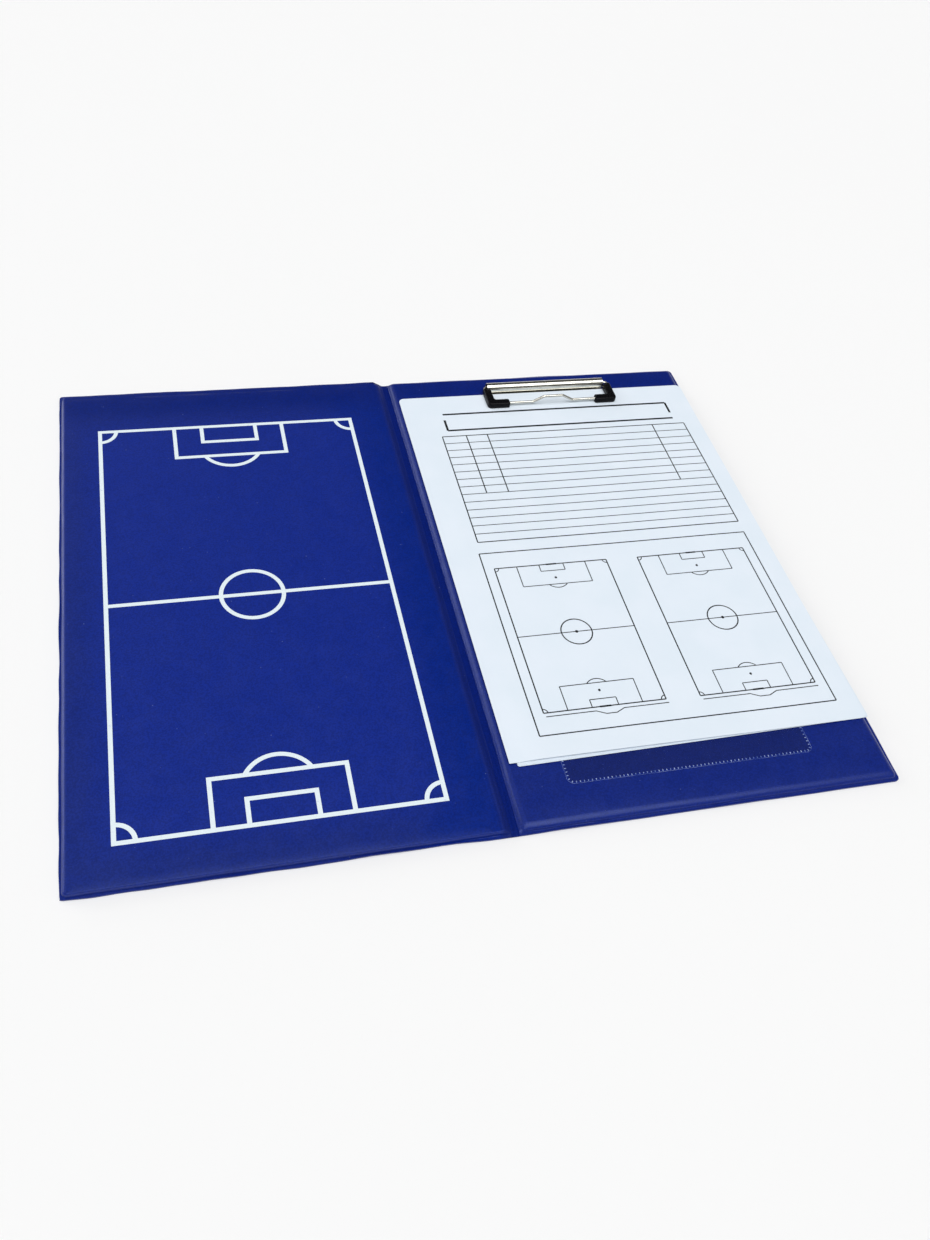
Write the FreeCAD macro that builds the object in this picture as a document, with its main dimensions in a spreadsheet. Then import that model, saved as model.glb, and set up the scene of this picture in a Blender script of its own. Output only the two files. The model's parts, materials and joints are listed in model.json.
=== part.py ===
import FreeCAD, Part

import math
import os

import Sketcher

# Folding tactics board: two vinyl-covered boards joined by a welded spine, a wire clip
# that holds a pad of match sheets on the right board, and a pitch printed on the left one.
# +X runs to the right, +Y up the page, +Z up from the table. The origin is on the table,
# under the middle of the spine.

# Driving dimensions, in millimetres.
SIZES = {
    # covers and spine
    "cover_height": 358.0,
    "spine_width": 8.0,
    "film_thickness": 0.45,
    "board_thickness": 3.0,
    "weld_land": 1.8,
    "crease_land": 0.7,
    "cover_corner": 3.0,
    "board_corner": 2.5,
    "shoulder_radius": 2.8,
    "crease_gap": 0.5,
    "crease_radius": 0.4,
    "spine_land": 1.4,
    "stiffener_thickness": 0.9,
    "spine_shoulder": 0.8,
    # printed pitch
    "pitch_width": 162.0,
    "pitch_length": 295.0,
    "pitch_left": 0.25,
    "pitch_down": 7.1,
    "line_width": 2.4,
    "ink_thickness": 0.05,
    "circle_radius": 17.8,
    "penalty_width": 69.4,
    "penalty_depth": 28.5,
    "goal_width": 34.6,
    "goal_depth": 14.8,
    "arc_chord": 34.0,
    "arc_rise": 10.0,
    "corner_radius": 10.0,
    # clear pocket
    "pocket_width": 142.0,
    "pocket_height": 112.0,
    "pocket_from_crease": 29.8,
    "pocket_from_bottom": 23.0,
    "pocket_corner": 4.0,
    "pocket_film": 0.25,
    "seam_width": 2.2,
    "seam_height": 0.3,
    # clip bracket and its rivets
    "clip_from_top": 17.5,
    "clip_right": 1.55,
    "tube_length": 86.4,
    "tube_radius": 3.4,
    "plate_thickness": 0.6,
    "plate_reach": 21.0,
    "plate_corner": 2.0,
    "roll_gap": 0.9,
    "rivet_from_end": 13.2,
    "rivet_reach": 11.0,
    "rivet_radius": 1.5,
    "rivet_head_radius": 3.0,
    "rivet_head_thickness": 0.3,
    "washer_radius": 3.2,
    "washer_thickness": 0.5,
    "rivet_clearance": 0.1,
    # wire bail and its sleeves
    "wire_radius": 1.0,
    "wire_bend": 2.0,
    "bail_right": 1.0,
    "arm_clearance": 0.5,
    "bail_reach": 17.2,
    "hump_base": 28.6,
    "hump_top": 13.6,
    "hump_rise": 4.2,
    "tail_length": 24.0,
    "tail_straight": 8.0,
    "tail_crank": 4.0,
    "sleeve_width": 5.5,
    "sleeve_height": 3.8,
    "sleeve_foot": 15.8,
    "sleeve_inward": 1.1,
    "sleeve_round": 1.1,
    # sheets
    "sheet_width": 210.0,
    "sheet_height": 297.0,
    "sheet_corner": 4.0,
    "sheet_foot_corner": 1.2,
    "sheet_thickness": 0.15,
    "stack_thickness": 0.45,
    "stack_drop": 0.8,
    "stack_right": 1.6,
    "sheet_from_crease": 2.0,
    "sheet_from_edge": 2.5,
    "sheet_from_tube": 1.1,
    "fold_from_bail": 7.0,
    "fold_gap": 0.15,
    # gap between pieces that move past each other
    "running_gap": 0.3,
}

# Places worked out from the driving dimensions, as formulas of a second sheet.
PLACES = {
    "crease_x": "sizes.spine_width / 2",
    "cover_width": "sizes.sheet_from_crease + sizes.sheet_width + sizes.sheet_from_edge",
    "panel_width": "cover_width - sizes.crease_gap",
    "panel_x": "crease_x + sizes.crease_gap + panel_width / 2",
    "spine_panel": "sizes.spine_width - 2 * sizes.crease_gap",
    "dome_width": "panel_width - sizes.weld_land - sizes.crease_land",
    "dome_shift": "(sizes.weld_land - sizes.crease_land) / 2",
    "dome_height": "sizes.cover_height - 2 * sizes.weld_land",
    "ridge_width": "spine_panel - 2 * sizes.spine_land",
    "ridge_height": "sizes.cover_height - 2 * sizes.spine_land",
    "board_top": "2 * sizes.film_thickness + sizes.board_thickness",
    "pitch_x": "-panel_x - sizes.pitch_left",
    "pitch_y": "-sizes.pitch_down",
    "arc_radius": "(sizes.arc_chord ^ 2 / 4 + sizes.arc_rise ^ 2) / (2 * sizes.arc_rise)",
    "arc_half_angle": "asin(sizes.arc_chord / 2 / arc_radius) / 1 deg",
    "pocket_x": "crease_x + sizes.pocket_from_crease + sizes.pocket_width / 2",
    "pocket_y": "sizes.pocket_from_bottom + sizes.pocket_height / 2 - sizes.cover_height / 2",
    "clip_x": "panel_x + sizes.clip_right",
    "tube_y": "sizes.cover_height / 2 - sizes.clip_from_top",
    "tube_z": "board_top + sizes.tube_radius",
    "tube_bore": "sizes.tube_radius - sizes.plate_thickness",
    "plate_top": "board_top + sizes.plate_thickness",
    "rivet_spacing": "sizes.tube_length - 2 * sizes.rivet_from_end",
    "rivet_y": "tube_y - sizes.rivet_reach",
    "rivet_hole": "sizes.rivet_radius + sizes.rivet_clearance",
    "page_z": "plate_top + sizes.stack_thickness",
    "paper_top": "page_z + sizes.sheet_thickness",
    "page_x": "crease_x + sizes.sheet_from_crease + sizes.sheet_width / 2",
    "page_top_y": "tube_y - sizes.tube_radius - sizes.sheet_from_tube",
    "page_bottom_y": "page_top_y - sizes.sheet_height",
    "fold_y": "tube_y - sizes.bail_reach - sizes.fold_from_bail",
    "bail_x": "clip_x + sizes.bail_right",
    "bail_half": "sizes.tube_length / 2 + sizes.bail_right + sizes.wire_radius + sizes.arm_clearance",
    "sleeve_half": "bail_half - sizes.sleeve_inward",
    "bail_rise": "paper_top + sizes.running_gap + sizes.sleeve_height / 2 - tube_z",
    "bail_tilt": "-asin(bail_rise / sizes.bail_reach) / 1 deg",
}

TOUCH = 1e-6
UNIT = 1.0
QUARTER_TURN = 90.0
HALF_TURN = 180.0
FULL_TURN = 360.0
AXIS_X = FreeCAD.Vector(1, 0, 0)
AXIS_Y = FreeCAD.Vector(0, 1, 0)
AXIS_Z = FreeCAD.Vector(0, 0, 1)
HERE = ("0", "0", "0")

doc = FreeCAD.newDocument("tactics_board")
nodes = []


def make_sheet(name, cells):
    """A spreadsheet with one named cell per row."""
    sheet = doc.addObject("Spreadsheet::Sheet", name)
    for row, (alias, content) in enumerate(cells.items(), start=1):
        sheet.set(f"A{row}", alias)
        sheet.set(f"B{row}", content)
        sheet.setAlias(f"B{row}", alias)
    doc.recompute()
    return sheet


sizes = make_sheet("sizes", {alias: str(value) for alias, value in SIZES.items()})
places = make_sheet("places", {alias: "=" + formula for alias, formula in PLACES.items()})


def place(thing, at):
    """Bind where a piece lies to three formulas."""
    for axis, formula in zip("xyz", at):
        thing.setExpression(f"Placement.Base.{axis}", formula)


def new_body(label, at):
    body = doc.addObject("PartDesign::Body", label)
    body.Label = label
    place(body, at)
    return body


def new_sketch(body, plane="XY_Plane", offset=HERE):
    sketch = body.newObject("Sketcher::SketchObject", body.Label + "_sketch")
    support = next(item for item in body.Origin.OriginFeatures if item.Role == plane)
    sketch.AttachmentSupport = (support, [""])
    sketch.MapMode = "FlatFace"
    for axis, formula in zip("xyz", offset):
        sketch.setExpression(f"AttachmentOffset.Base.{axis}", formula)
    return sketch


def dimension(sketch, name, formula, kind, *points, start=UNIT):
    """A named sketch dimension that follows a formula, drawn at a start value."""
    sketch.addConstraint(Sketcher.Constraint(kind, *points, start))
    sketch.renameConstraint(sketch.ConstraintCount - 1, name)
    sketch.setExpression("Constraints." + name, formula)


def join_ends(sketch, count):
    """Close a loop of consecutive lines and arcs."""
    for number in range(count):
        sketch.addConstraint(Sketcher.Constraint("Coincident", number, 2, (number + 1) % count, 1))


def rectangle(body, width, height, offset=HERE):
    """A rectangle about the middle of its sketch."""
    sketch = new_sketch(body, offset=offset)
    corners = [FreeCAD.Vector(x, y) for x, y in ((-1, -1), (1, -1), (1, 1), (-1, 1))]
    for start, end in zip(corners, corners[1:] + corners[:1]):
        sketch.addGeometry(Part.LineSegment(start, end))
    join_ends(sketch, len(corners))
    for number in range(len(corners)):
        direction = "Vertical" if number % 2 else "Horizontal"
        sketch.addConstraint(Sketcher.Constraint(direction, number))
    sketch.addConstraint(Sketcher.Constraint("Symmetric", 0, 1, 2, 1, -1, 1))
    dimension(sketch, "width", width, "DistanceX", 0, 1, 0, 2)
    dimension(sketch, "height", height, "DistanceY", 1, 1, 1, 2)
    return sketch


def circle(body, radius, offset=HERE):
    """A circle about the middle of its sketch."""
    sketch = new_sketch(body, offset=offset)
    sketch.addGeometry(Part.Circle(FreeCAD.Vector(), AXIS_Z, UNIT))
    sketch.addConstraint(Sketcher.Constraint("Coincident", 0, 3, -1, 1))
    dimension(sketch, "radius", radius, "Radius", 0)
    return sketch


def pad(body, sketch, length, reverse=False):
    feature = body.newObject("PartDesign::Pad", body.Label + "_pad")
    feature.Profile = sketch
    feature.Reversed = reverse
    feature.setExpression("Length", length)
    doc.recompute()
    return feature


def pocket(body, sketch, length=None, reverse=False):
    """A cut to a depth, or right through where no depth is given."""
    before = body.Shape.Volume
    feature = body.newObject("PartDesign::Pocket", body.Label + "_cut")
    feature.Profile = sketch
    feature.Reversed = reverse
    if length is None:
        feature.Type = "ThroughAll"
    else:
        feature.setExpression("Length", length)
    doc.recompute()
    if body.Shape.Volume > before - TOUCH:
        raise RuntimeError(body.Label + ": a cut removes nothing")
    return feature


def fillet(body, base, edges, radius):
    feature = body.newObject("PartDesign::Fillet", body.Label + "_round")
    feature.Base = (base, edges)
    feature.setExpression("Radius", radius)
    doc.recompute()
    return feature


def edge_names(feature, wanted):
    """Names of the edges whose two end points pass a test."""
    names = []
    for number, edge in enumerate(feature.Shape.Edges, start=1):
        if wanted(edge.Vertexes[0].Point, edge.Vertexes[-1].Point):
            names.append(f"Edge{number}")
    return names


def upright(first, last):
    level_shift = math.hypot(first.x - last.x, first.y - last.y)
    return level_shift < TOUCH and abs(first.z - last.z) > TOUCH


def at_level(first, last, level):
    return abs(first.z - level) < TOUCH and abs(last.z - level) < TOUCH


def round_upright(body, base, radius, chosen):
    """Round the upright edges that pass a test on their top point."""
    edges = edge_names(base, lambda a, b: upright(a, b) and chosen(a if a.z > b.z else b))
    return fillet(body, base, edges, radius)


def finish(label, thing):
    """Name a finished piece and put it on the list of pieces."""
    thing.Label = label
    nodes.append((label, thing))


def plate(label, at, width, height, thickness, corner, chosen):
    """A flat rectangular piece about its place, with its chosen corners rounded."""
    body = new_body(label, at)
    slab = pad(body, rectangle(body, width, height), thickness)
    return body, round_upright(body, slab, corner, chosen)


def every_corner(point):
    return True


def boolean(kind, label, **links):
    """A boolean of finished shapes."""
    result = doc.addObject(kind, label)
    for name, value in links.items():
        setattr(result, name, value)
    doc.recompute()
    return result


def stiff_core(label, at, dome, thickness, corner, shoulder):
    """The board inside a cover or the spine, with its upper edges eased."""
    width, height = (f"{side} - 2 * sizes.film_thickness" for side in dome)
    radius = f"{corner} - sizes.film_thickness"
    body, slab = plate(label, at, width, height, thickness, radius, every_corner)
    top = slab.Shape.BoundBox.ZMax
    rim = edge_names(slab, lambda a, b: at_level(a, b, top))
    fillet(body, slab, rim, f"{shoulder} - sizes.film_thickness")
    return body


def domed_film(label, at, panel, dome, thickness, corner, shoulder, shift="0"):
    """The outer form of an inner film: a flat welded rim and a raised middle with a rounded shoulder."""
    body = new_body(label, at)
    rim = pad(body, rectangle(body, *panel), "sizes.film_thickness")
    rim_top = rim.Shape.BoundBox.ZMax
    raised = pad(body, rectangle(body, *dome, (shift, "0", "0")), f"{thickness} + sizes.film_thickness")
    top = raised.Shape.BoundBox.ZMax
    raised = round_upright(body, raised, corner, lambda point: point.z > rim_top + TOUCH)
    raised = fillet(body, raised, edge_names(raised, lambda a, b: at_level(a, b, top)), shoulder)
    return body, raised


def rivet_tools(name, radius, height):
    """Upright cylinders at the two rivets, from the table up."""
    tools = []
    for sign in ("-", "+"):
        tool = doc.addObject("Part::Cylinder", name)
        tool.setExpression("Radius", radius)
        tool.setExpression("Height", height)
        place(tool, (f"places.clip_x {sign} places.rivet_spacing / 2", "places.rivet_y", "0"))
        tools.append(tool)
    return tools


def make_cover(side, sign):
    """Outer skin, board and inner lining of one cover. Its outer corners are rounded."""
    x = f"{sign}places.panel_x"
    outward = -1 if sign else 1
    shift = "places.dome_shift" if sign else "-places.dome_shift"
    panel = ("places.panel_width", "sizes.cover_height")
    dome = ("places.dome_width", "places.dome_height")
    film = "sizes.film_thickness"
    form = (dome, "sizes.board_thickness", "sizes.board_corner", "sizes.shoulder_radius")

    def outer(point):
        return point.x * outward > 0

    def outer_rim(point):
        return outer(point) and point.z < float(sizes.film_thickness) + TOUCH

    skin, _ = plate(side + "_skin_body", (x, "0", "0"), *panel, film, "sizes.cover_corner", outer)
    core = stiff_core(side + "_core", (f"{x} + {shift}", "0", film), *form)
    dome_film, raised = domed_film(side + "_film", (x, "0", film), panel, *form, shift)
    round_upright(dome_film, raised, "sizes.cover_corner", outer_rim)
    board = core
    room = core
    if side == "right":
        holes = rivet_tools("rivet_hole", "places.rivet_hole", "places.plate_top")
        seat = "sizes.washer_radius + sizes.rivet_clearance"
        seats = rivet_tools("washer_seat", seat, f"{film} + sizes.washer_thickness")
        tools = boolean("Part::MultiFuse", "board_holes", Shapes=holes + seats)
        board = boolean("Part::Cut", "drilled_board", Base=core, Tool=tools)
        room = boolean("Part::MultiFuse", "lining_room", Shapes=holes + [core])
    lining = boolean("Part::Cut", side + "_lining_cut", Base=dome_film, Tool=room)
    finish(side + "_outer_skin", skin)
    finish(side + "_board", board)
    finish(side + "_lining", lining)


def make_spine():
    """Spine skins and stiffener, and the two weld beads that the covers fold about."""
    film = "sizes.film_thickness"
    panel = ("places.spine_panel", "sizes.cover_height")
    dome = ("places.ridge_width", "places.ridge_height")
    form = (dome, "sizes.stiffener_thickness", "sizes.spine_shoulder", "sizes.spine_shoulder")
    skin = new_body("spine_skin_body", HERE)
    pad(skin, rectangle(skin, *panel), film)
    stiffener = stiff_core("spine_core", ("0", "0", film), *form)
    ridge, _ = domed_film("spine_film", ("0", "0", film), panel, *form)
    lining = boolean("Part::Cut", "spine_lining_cut", Base=ridge, Tool=stiffener)
    finish("spine_outer_skin", skin)
    finish("spine_stiffener", stiffener)
    finish("spine_lining", lining)
    for side, sign in (("left", "-"), ("right", "")):
        bead = doc.addObject("Part::Cylinder", side + "_bead")
        bead.setExpression("Radius", "sizes.crease_radius")
        bead.setExpression("Height", "sizes.cover_height")
        bead.Placement = FreeCAD.Placement(FreeCAD.Vector(), FreeCAD.Rotation(AXIS_X, -QUARTER_TURN))
        place(bead, (f"{sign}places.crease_x", "-sizes.cover_height / 2", film))
        finish(side + "_crease_weld", bead)


def ink_strip(x, y, width, height):
    """A straight printed line, about a point of the pitch."""
    strip = doc.addObject("Part::Box", "ink_strip")
    strip.setExpression("Length", width)
    strip.setExpression("Width", height)
    strip.setExpression("Height", "sizes.ink_thickness")
    left = f"places.pitch_x + {x} - ({width}) / 2"
    low = f"places.pitch_y + {y} - ({height}) / 2"
    place(strip, (left, low, "places.board_top"))
    return strip


def ink_ring(x, y, radius, start, sweep):
    """A printed arc: its start and its sweep are in degrees."""
    discs = []
    for name, growth, angle in (("ink_disc", "+", sweep), ("ink_hole", "-", str(FULL_TURN))):
        disc = doc.addObject("Part::Cylinder", name)
        disc.setExpression("Radius", f"{radius} {growth} sizes.line_width / 2")
        disc.setExpression("Height", "sizes.ink_thickness")
        disc.setExpression("Angle", angle)
        disc.Placement = FreeCAD.Placement(FreeCAD.Vector(), FreeCAD.Rotation(AXIS_Z, UNIT))
        disc.setExpression("Placement.Rotation.Angle", start)
        place(disc, (f"places.pitch_x + {x}", f"places.pitch_y + {y}", "places.board_top"))
        discs.append(disc)
    return boolean("Part::Cut", "ink_ring", Base=discs[0], Tool=discs[1])


def make_pitch_print():
    """White pitch markings, printed on the left cover's lining."""
    line = "sizes.line_width"
    half_width = "sizes.pitch_width / 2"
    half_length = "sizes.pitch_length / 2"
    marks = [ink_strip("0", "0", f"sizes.pitch_width + {line}", line)]
    marks.append(ink_ring("0", "0", "sizes.circle_radius", "0", str(FULL_TURN)))
    for side in ("-", ""):
        marks.append(ink_strip(f"{side}{half_width}", "0", line, f"sizes.pitch_length + {line}"))
        marks.append(ink_strip("0", f"{side}{half_length}", f"sizes.pitch_width + {line}", line))
    for sign, inward, toward in (("", "-", -QUARTER_TURN), ("-", "+", QUARTER_TURN)):
        goal_line = f"{sign}{half_length}"
        for width, depth in (("penalty_width", "penalty_depth"), ("goal_width", "goal_depth")):
            front = f"{goal_line} {inward} sizes.{depth}"
            marks.append(ink_strip("0", front, f"sizes.{width} + {line}", line))
            for side in ("-", ""):
                middle = f"{goal_line} {inward} sizes.{depth} / 2"
                marks.append(ink_strip(f"{side}sizes.{width} / 2", middle, line, f"sizes.{depth}"))
        spot = f"{goal_line} {inward} (sizes.penalty_depth + sizes.arc_rise - places.arc_radius)"
        start = f"{toward} - places.arc_half_angle"
        marks.append(ink_ring("0", spot, "places.arc_radius", start, "2 * places.arc_half_angle"))
        for side, corner_start in (("", HALF_TURN), ("-", -QUARTER_TURN)):
            if sign:
                corner_start += QUARTER_TURN if side else -QUARTER_TURN
            corner = (f"{side}{half_width}", goal_line)
            marks.append(ink_ring(*corner, "sizes.corner_radius", str(corner_start), str(QUARTER_TURN)))
    finish("pitch_print", boolean("Part::MultiFuse", "pitch_print", Shapes=marks, Refine=True))


def make_pocket():
    """Clear pocket on the right cover: a film in a welded seam on three sides, open at the top."""
    at = ("places.pocket_x", "places.pocket_y", "places.board_top")

    def lower(point):
        return point.y < 0

    outline = ("sizes.pocket_width", "sizes.pocket_height")
    seam, _ = plate("pocket_seam", at, *outline, "sizes.seam_height", "sizes.pocket_corner", lower)
    inner = ("sizes.pocket_width - 2 * sizes.seam_width", "sizes.pocket_height - sizes.seam_width")
    shift = ("0", "sizes.seam_width / 2", "0")
    opening = pocket(seam, rectangle(seam, *inner, shift), reverse=True)
    inside = opening.Shape.BoundBox.XMax - float(sizes.seam_width)
    corner = "sizes.pocket_corner - sizes.seam_width"
    round_upright(seam, opening, corner, lambda p: lower(p) and abs(abs(p.x) - inside) < TOUCH)
    film_at = (at[0], at[1] + " + sizes.seam_width / 2", at[2])
    film, _ = plate("pocket_film", film_at, *inner, "sizes.pocket_film", corner, lower)
    finish("pocket_seam", seam)
    finish("pocket_film", film)


def make_bracket():
    """Clip bracket: a riveted base plate whose rear edge is rolled up into a tube for the wire."""
    at = ("places.clip_x - sizes.tube_length / 2", "places.tube_y", "places.tube_z")
    body = new_body("clip_bracket", at)
    sketch = new_sketch(body, "YZ_Plane")
    outer, bore = float(sizes.tube_radius), float(places.tube_bore)
    front, gap = -float(sizes.plate_reach), float(sizes.roll_gap)
    end = math.pi + math.asin((bore - gap) / bore)
    tip = FreeCAD.Vector(math.cos(end), math.sin(end))
    origin = FreeCAD.Vector()
    rolled = [Part.Circle(origin, AXIS_Z, radius) for radius in (outer, bore)]
    under, over = (FreeCAD.Vector(0, -radius) for radius in (outer, bore))
    sketch.addGeometry(Part.LineSegment(FreeCAD.Vector(front, -outer), under))
    sketch.addGeometry(Part.ArcOfCircle(rolled[0], -math.pi / 2, end))
    sketch.addGeometry(Part.LineSegment(tip * outer, tip * bore))
    sketch.addGeometry(Part.ArcOfCircle(rolled[1], -math.pi / 2, end))
    sketch.addGeometry(Part.LineSegment(over, FreeCAD.Vector(front, -bore)))
    sketch.addGeometry(Part.LineSegment(FreeCAD.Vector(front, -bore), FreeCAD.Vector(front, -outer)))
    ends = ((0, 2, 1, 1), (1, 2, 2, 1), (2, 2, 3, 2), (3, 1, 4, 1), (4, 2, 5, 1), (5, 2, 0, 1))
    for pair in ends + ((1, 3, -1, 1), (3, 3, -1, 1)):
        sketch.addConstraint(Sketcher.Constraint("Coincident", *pair))
    dimension(sketch, "outer", "sizes.tube_radius", "Radius", 1, start=outer)
    dimension(sketch, "bore", "places.tube_bore", "Radius", 3, start=bore)
    dimension(sketch, "reach", "sizes.plate_reach", "DistanceX", 0, 1, 0, 2, start=-front)
    dimension(sketch, "gap", "sizes.roll_gap", "DistanceY", 4, 1, 2, 2, start=gap)
    for number in (0, 4):
        sketch.addConstraint(Sketcher.Constraint("Horizontal", number))
    sketch.addConstraint(Sketcher.Constraint("Vertical", 5))
    sketch.addConstraint(Sketcher.Constraint("PointOnObject", 1, 1, -2))
    sketch.addConstraint(Sketcher.Constraint("PointOnObject", 3, 1, -2))
    sketch.addConstraint(Sketcher.Constraint("PointOnObject", -1, 1, 2))
    rolled_strip = pad(body, sketch, "sizes.tube_length")
    round_upright(body, rolled_strip, "sizes.plate_corner", lambda point: point.y < front + TOUCH)
    for side in ("-", "+"):
        across = f"sizes.tube_length / 2 {side} places.rivet_spacing / 2"
        pocket(body, circle(body, "places.rivet_hole", (across, "-sizes.rivet_reach", "0")))
        recess = circle(
            body, "sizes.rivet_head_radius + sizes.rivet_clearance",
            (across, "-sizes.rivet_reach", "-places.tube_bore")
        )
        pocket(body, recess, "sizes.rivet_head_thickness")
    finish("clip_bracket", body)


def make_rivets():
    """Flat rivets that hold the bracket through the lining and the board, each on a washer."""
    shank = "sizes.plate_thickness + sizes.film_thickness + sizes.board_thickness"
    for side, sign in (("left", "-"), ("right", "+")):
        x = f"places.clip_x {sign} places.rivet_spacing / 2"
        rivet = new_body("clip_rivet_" + side, (x, "places.rivet_y", "places.plate_top"))
        pad(rivet, circle(rivet, "sizes.rivet_radius"), shank, reverse=True)
        pad(rivet, circle(rivet, "sizes.rivet_head_radius"), "sizes.rivet_head_thickness", reverse=True)
        finish(rivet.Label, rivet)
        washer = new_body("rivet_washer_" + side, (x, "places.rivet_y", "sizes.film_thickness"))
        pad(washer, circle(washer, "sizes.washer_radius"), "sizes.washer_thickness")
        pocket(washer, circle(washer, "places.rivet_hole"), reverse=True)
        finish(washer.Label, washer)


def bent_path(points, bend):
    """Straight runs joined by tangent arcs of one bend radius."""
    edges = []
    start = points[0]
    for before, corner, after in zip(points, points[1:], points[2:]):
        back = (before - corner).normalize()
        onward = (after - corner).normalize()
        half_turn = (math.pi - back.getAngle(onward)) / 2
        setback = bend * math.tan(half_turn)
        middle = corner + (back + onward).normalize() * (bend / math.cos(half_turn) - bend)
        edges.append(Part.LineSegment(start, corner + back * setback).toShape())
        edges.append(Part.Arc(corner + back * setback, middle, corner + onward * setback).toShape())
        start = corner + onward * setback
    edges.append(Part.LineSegment(start, points[-1]).toShape())
    return Part.Wire(edges)


def make_bail_wire():
    """One bent wire: cranked tails in the tube, two arms and a front leg with a raised hump."""
    half, reach = float(places.bail_half), float(sizes.bail_reach)
    radius, rise = float(sizes.wire_radius), float(sizes.hump_rise)
    straight, crank = float(sizes.tail_straight), float(sizes.tail_crank)
    lift = float(places.tube_bore) - radius - float(sizes.running_gap)
    left = [
        FreeCAD.Vector(float(sizes.tail_length) - half, 0, lift),
        FreeCAD.Vector(straight + crank - half, 0, lift),
        FreeCAD.Vector(straight - half, 0, 0),
        FreeCAD.Vector(-half, 0, 0),
        FreeCAD.Vector(-half, -reach, 0),
        FreeCAD.Vector(-float(sizes.hump_base) / 2, -reach, 0),
        FreeCAD.Vector(-float(sizes.hump_top) / 2, -reach, rise),
    ]
    right = [FreeCAD.Vector(-point.x, point.y, point.z) for point in reversed(left)]
    path = bent_path(left + right, float(sizes.wire_bend))
    section = Part.Wire(Part.Circle(left[0], left[1] - left[0], radius).toShape())
    wire = doc.addObject("Part::Feature", "bail_wire")
    wire.Shape = path.makePipeShell([section], True, False)
    wire.Placement = FreeCAD.Placement(
        FreeCAD.Vector(float(places.bail_x), float(places.tube_y), float(places.tube_z)),
        FreeCAD.Rotation(AXIS_X, float(places.bail_tilt)),
    )
    finish("bail_wire", wire)
    return wire


def make_sleeves(wire):
    """Moulded corner sleeves on the wire, cut back where they pass the tube's ends."""
    axis = ("places.bail_x", "places.tube_y", "places.tube_z")
    room = doc.addObject("Part::Cylinder", "tube_room")
    room.setExpression("Radius", "sizes.tube_radius + sizes.running_gap")
    room.setExpression("Height", "sizes.tube_length + 2 * sizes.running_gap")
    room.Placement = FreeCAD.Placement(FreeCAD.Vector(), FreeCAD.Rotation(AXIS_Y, QUARTER_TURN))
    place(room, ("places.clip_x - sizes.tube_length / 2 - sizes.running_gap", *axis[1:]))
    channel = boolean("Part::MultiFuse", "sleeve_room", Shapes=[room, wire])
    rear = "(sizes.wire_bend + sizes.running_gap)"
    arm_length = f"sizes.bail_reach + sizes.sleeve_width / 2 - {rear}"
    arm_middle = f"-(sizes.bail_reach + sizes.sleeve_width / 2 + {rear}) / 2"
    below = "-sizes.sleeve_height / 2"
    for side, sign, inward in (("left", "-", "+"), ("right", "", "-")):
        blank = new_body("sleeve_blank_" + side, axis)
        blank.Placement.Rotation = FreeCAD.Rotation(AXIS_X, UNIT)
        blank.setExpression("Placement.Rotation.Angle", "places.bail_tilt")
        arm_at = (f"{sign}places.sleeve_half", arm_middle, below)
        arm = rectangle(blank, "sizes.sleeve_width", arm_length, arm_at)
        pad(blank, arm, "sizes.sleeve_height")
        middle = f"{sign}places.sleeve_half {inward} (sizes.sleeve_foot - sizes.sleeve_width) / 2"
        foot_at = (middle, "-sizes.bail_reach", below)
        foot = rectangle(blank, "sizes.sleeve_foot", "sizes.sleeve_width", foot_at)
        elbow = pad(blank, foot, "sizes.sleeve_height")
        underside = elbow.Shape.BoundBox.ZMin
        edges = edge_names(elbow, lambda a, b: not at_level(a, b, underside))
        fillet(blank, elbow, edges, "sizes.sleeve_round")
        sleeve = boolean("Part::Cut", "bail_sleeve_" + side, Base=blank, Tool=channel)
        finish(sleeve.Label, sleeve)


def make_sheets():
    """A short stack of sheets, and the top sheet with its head held under the clip."""
    width = "sizes.sheet_width"
    low_edge = float(sizes.sheet_height) / -2

    def square_foot(point):
        return point.y < low_edge + TOUCH

    middle = "(places.page_top_y + places.page_bottom_y) / 2 - sizes.stack_drop"
    stack_at = ("places.page_x + sizes.stack_right", middle, "places.plate_top")
    stack, slab = plate(
        "sheet_stack", stack_at, width, "sizes.sheet_height",
        "sizes.stack_thickness", "sizes.sheet_corner", lambda point: point.y > 0
    )
    round_upright(stack, slab, "sizes.sheet_foot_corner", square_foot)
    finish("sheet_stack", stack)
    head = "(places.fold_y + sizes.fold_gap)"
    foot = "(places.fold_y - sizes.fold_gap)"
    for label, low, high, corner, sign in (
        ("top_sheet_head", head, "places.page_top_y", "sizes.sheet_corner", 1),
        ("top_sheet", "places.page_bottom_y", foot, "sizes.sheet_foot_corner", -1),
    ):
        page, _ = plate(
            label, ("places.page_x", f"({low} + {high}) / 2", "places.page_z"), width, f"{high} - {low}",
            "sizes.sheet_thickness", corner, lambda point: point.y * sign > 0
        )
        finish(label, page)


def check_and_write():
    """Stop on any failed object, then write one file per piece."""
    doc.recompute()
    failed = [thing.Label for thing in doc.Objects if {"Invalid", "Error"} & set(thing.State)]
    for label, thing in nodes:
        shape = thing.Shape
        if shape.isNull() or not shape.isValid() or len(shape.Solids) != 1:
            failed.append(label)
    if failed:
        raise RuntimeError("failed: " + ", ".join(failed))
    os.makedirs("parts", exist_ok=True)
    for label, thing in nodes:
        thing.Shape.exportStep(f"parts/{label}.step")


make_cover("left", "-")
make_cover("right", "")
make_spine()
make_pitch_print()
make_pocket()
make_bracket()
make_rivets()
make_sleeves(make_bail_wire())
make_sheets()
check_and_write()
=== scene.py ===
from collections import namedtuple
import json
import math

import bmesh
import bpy
from mathutils import Matrix, Vector, noise


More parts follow.
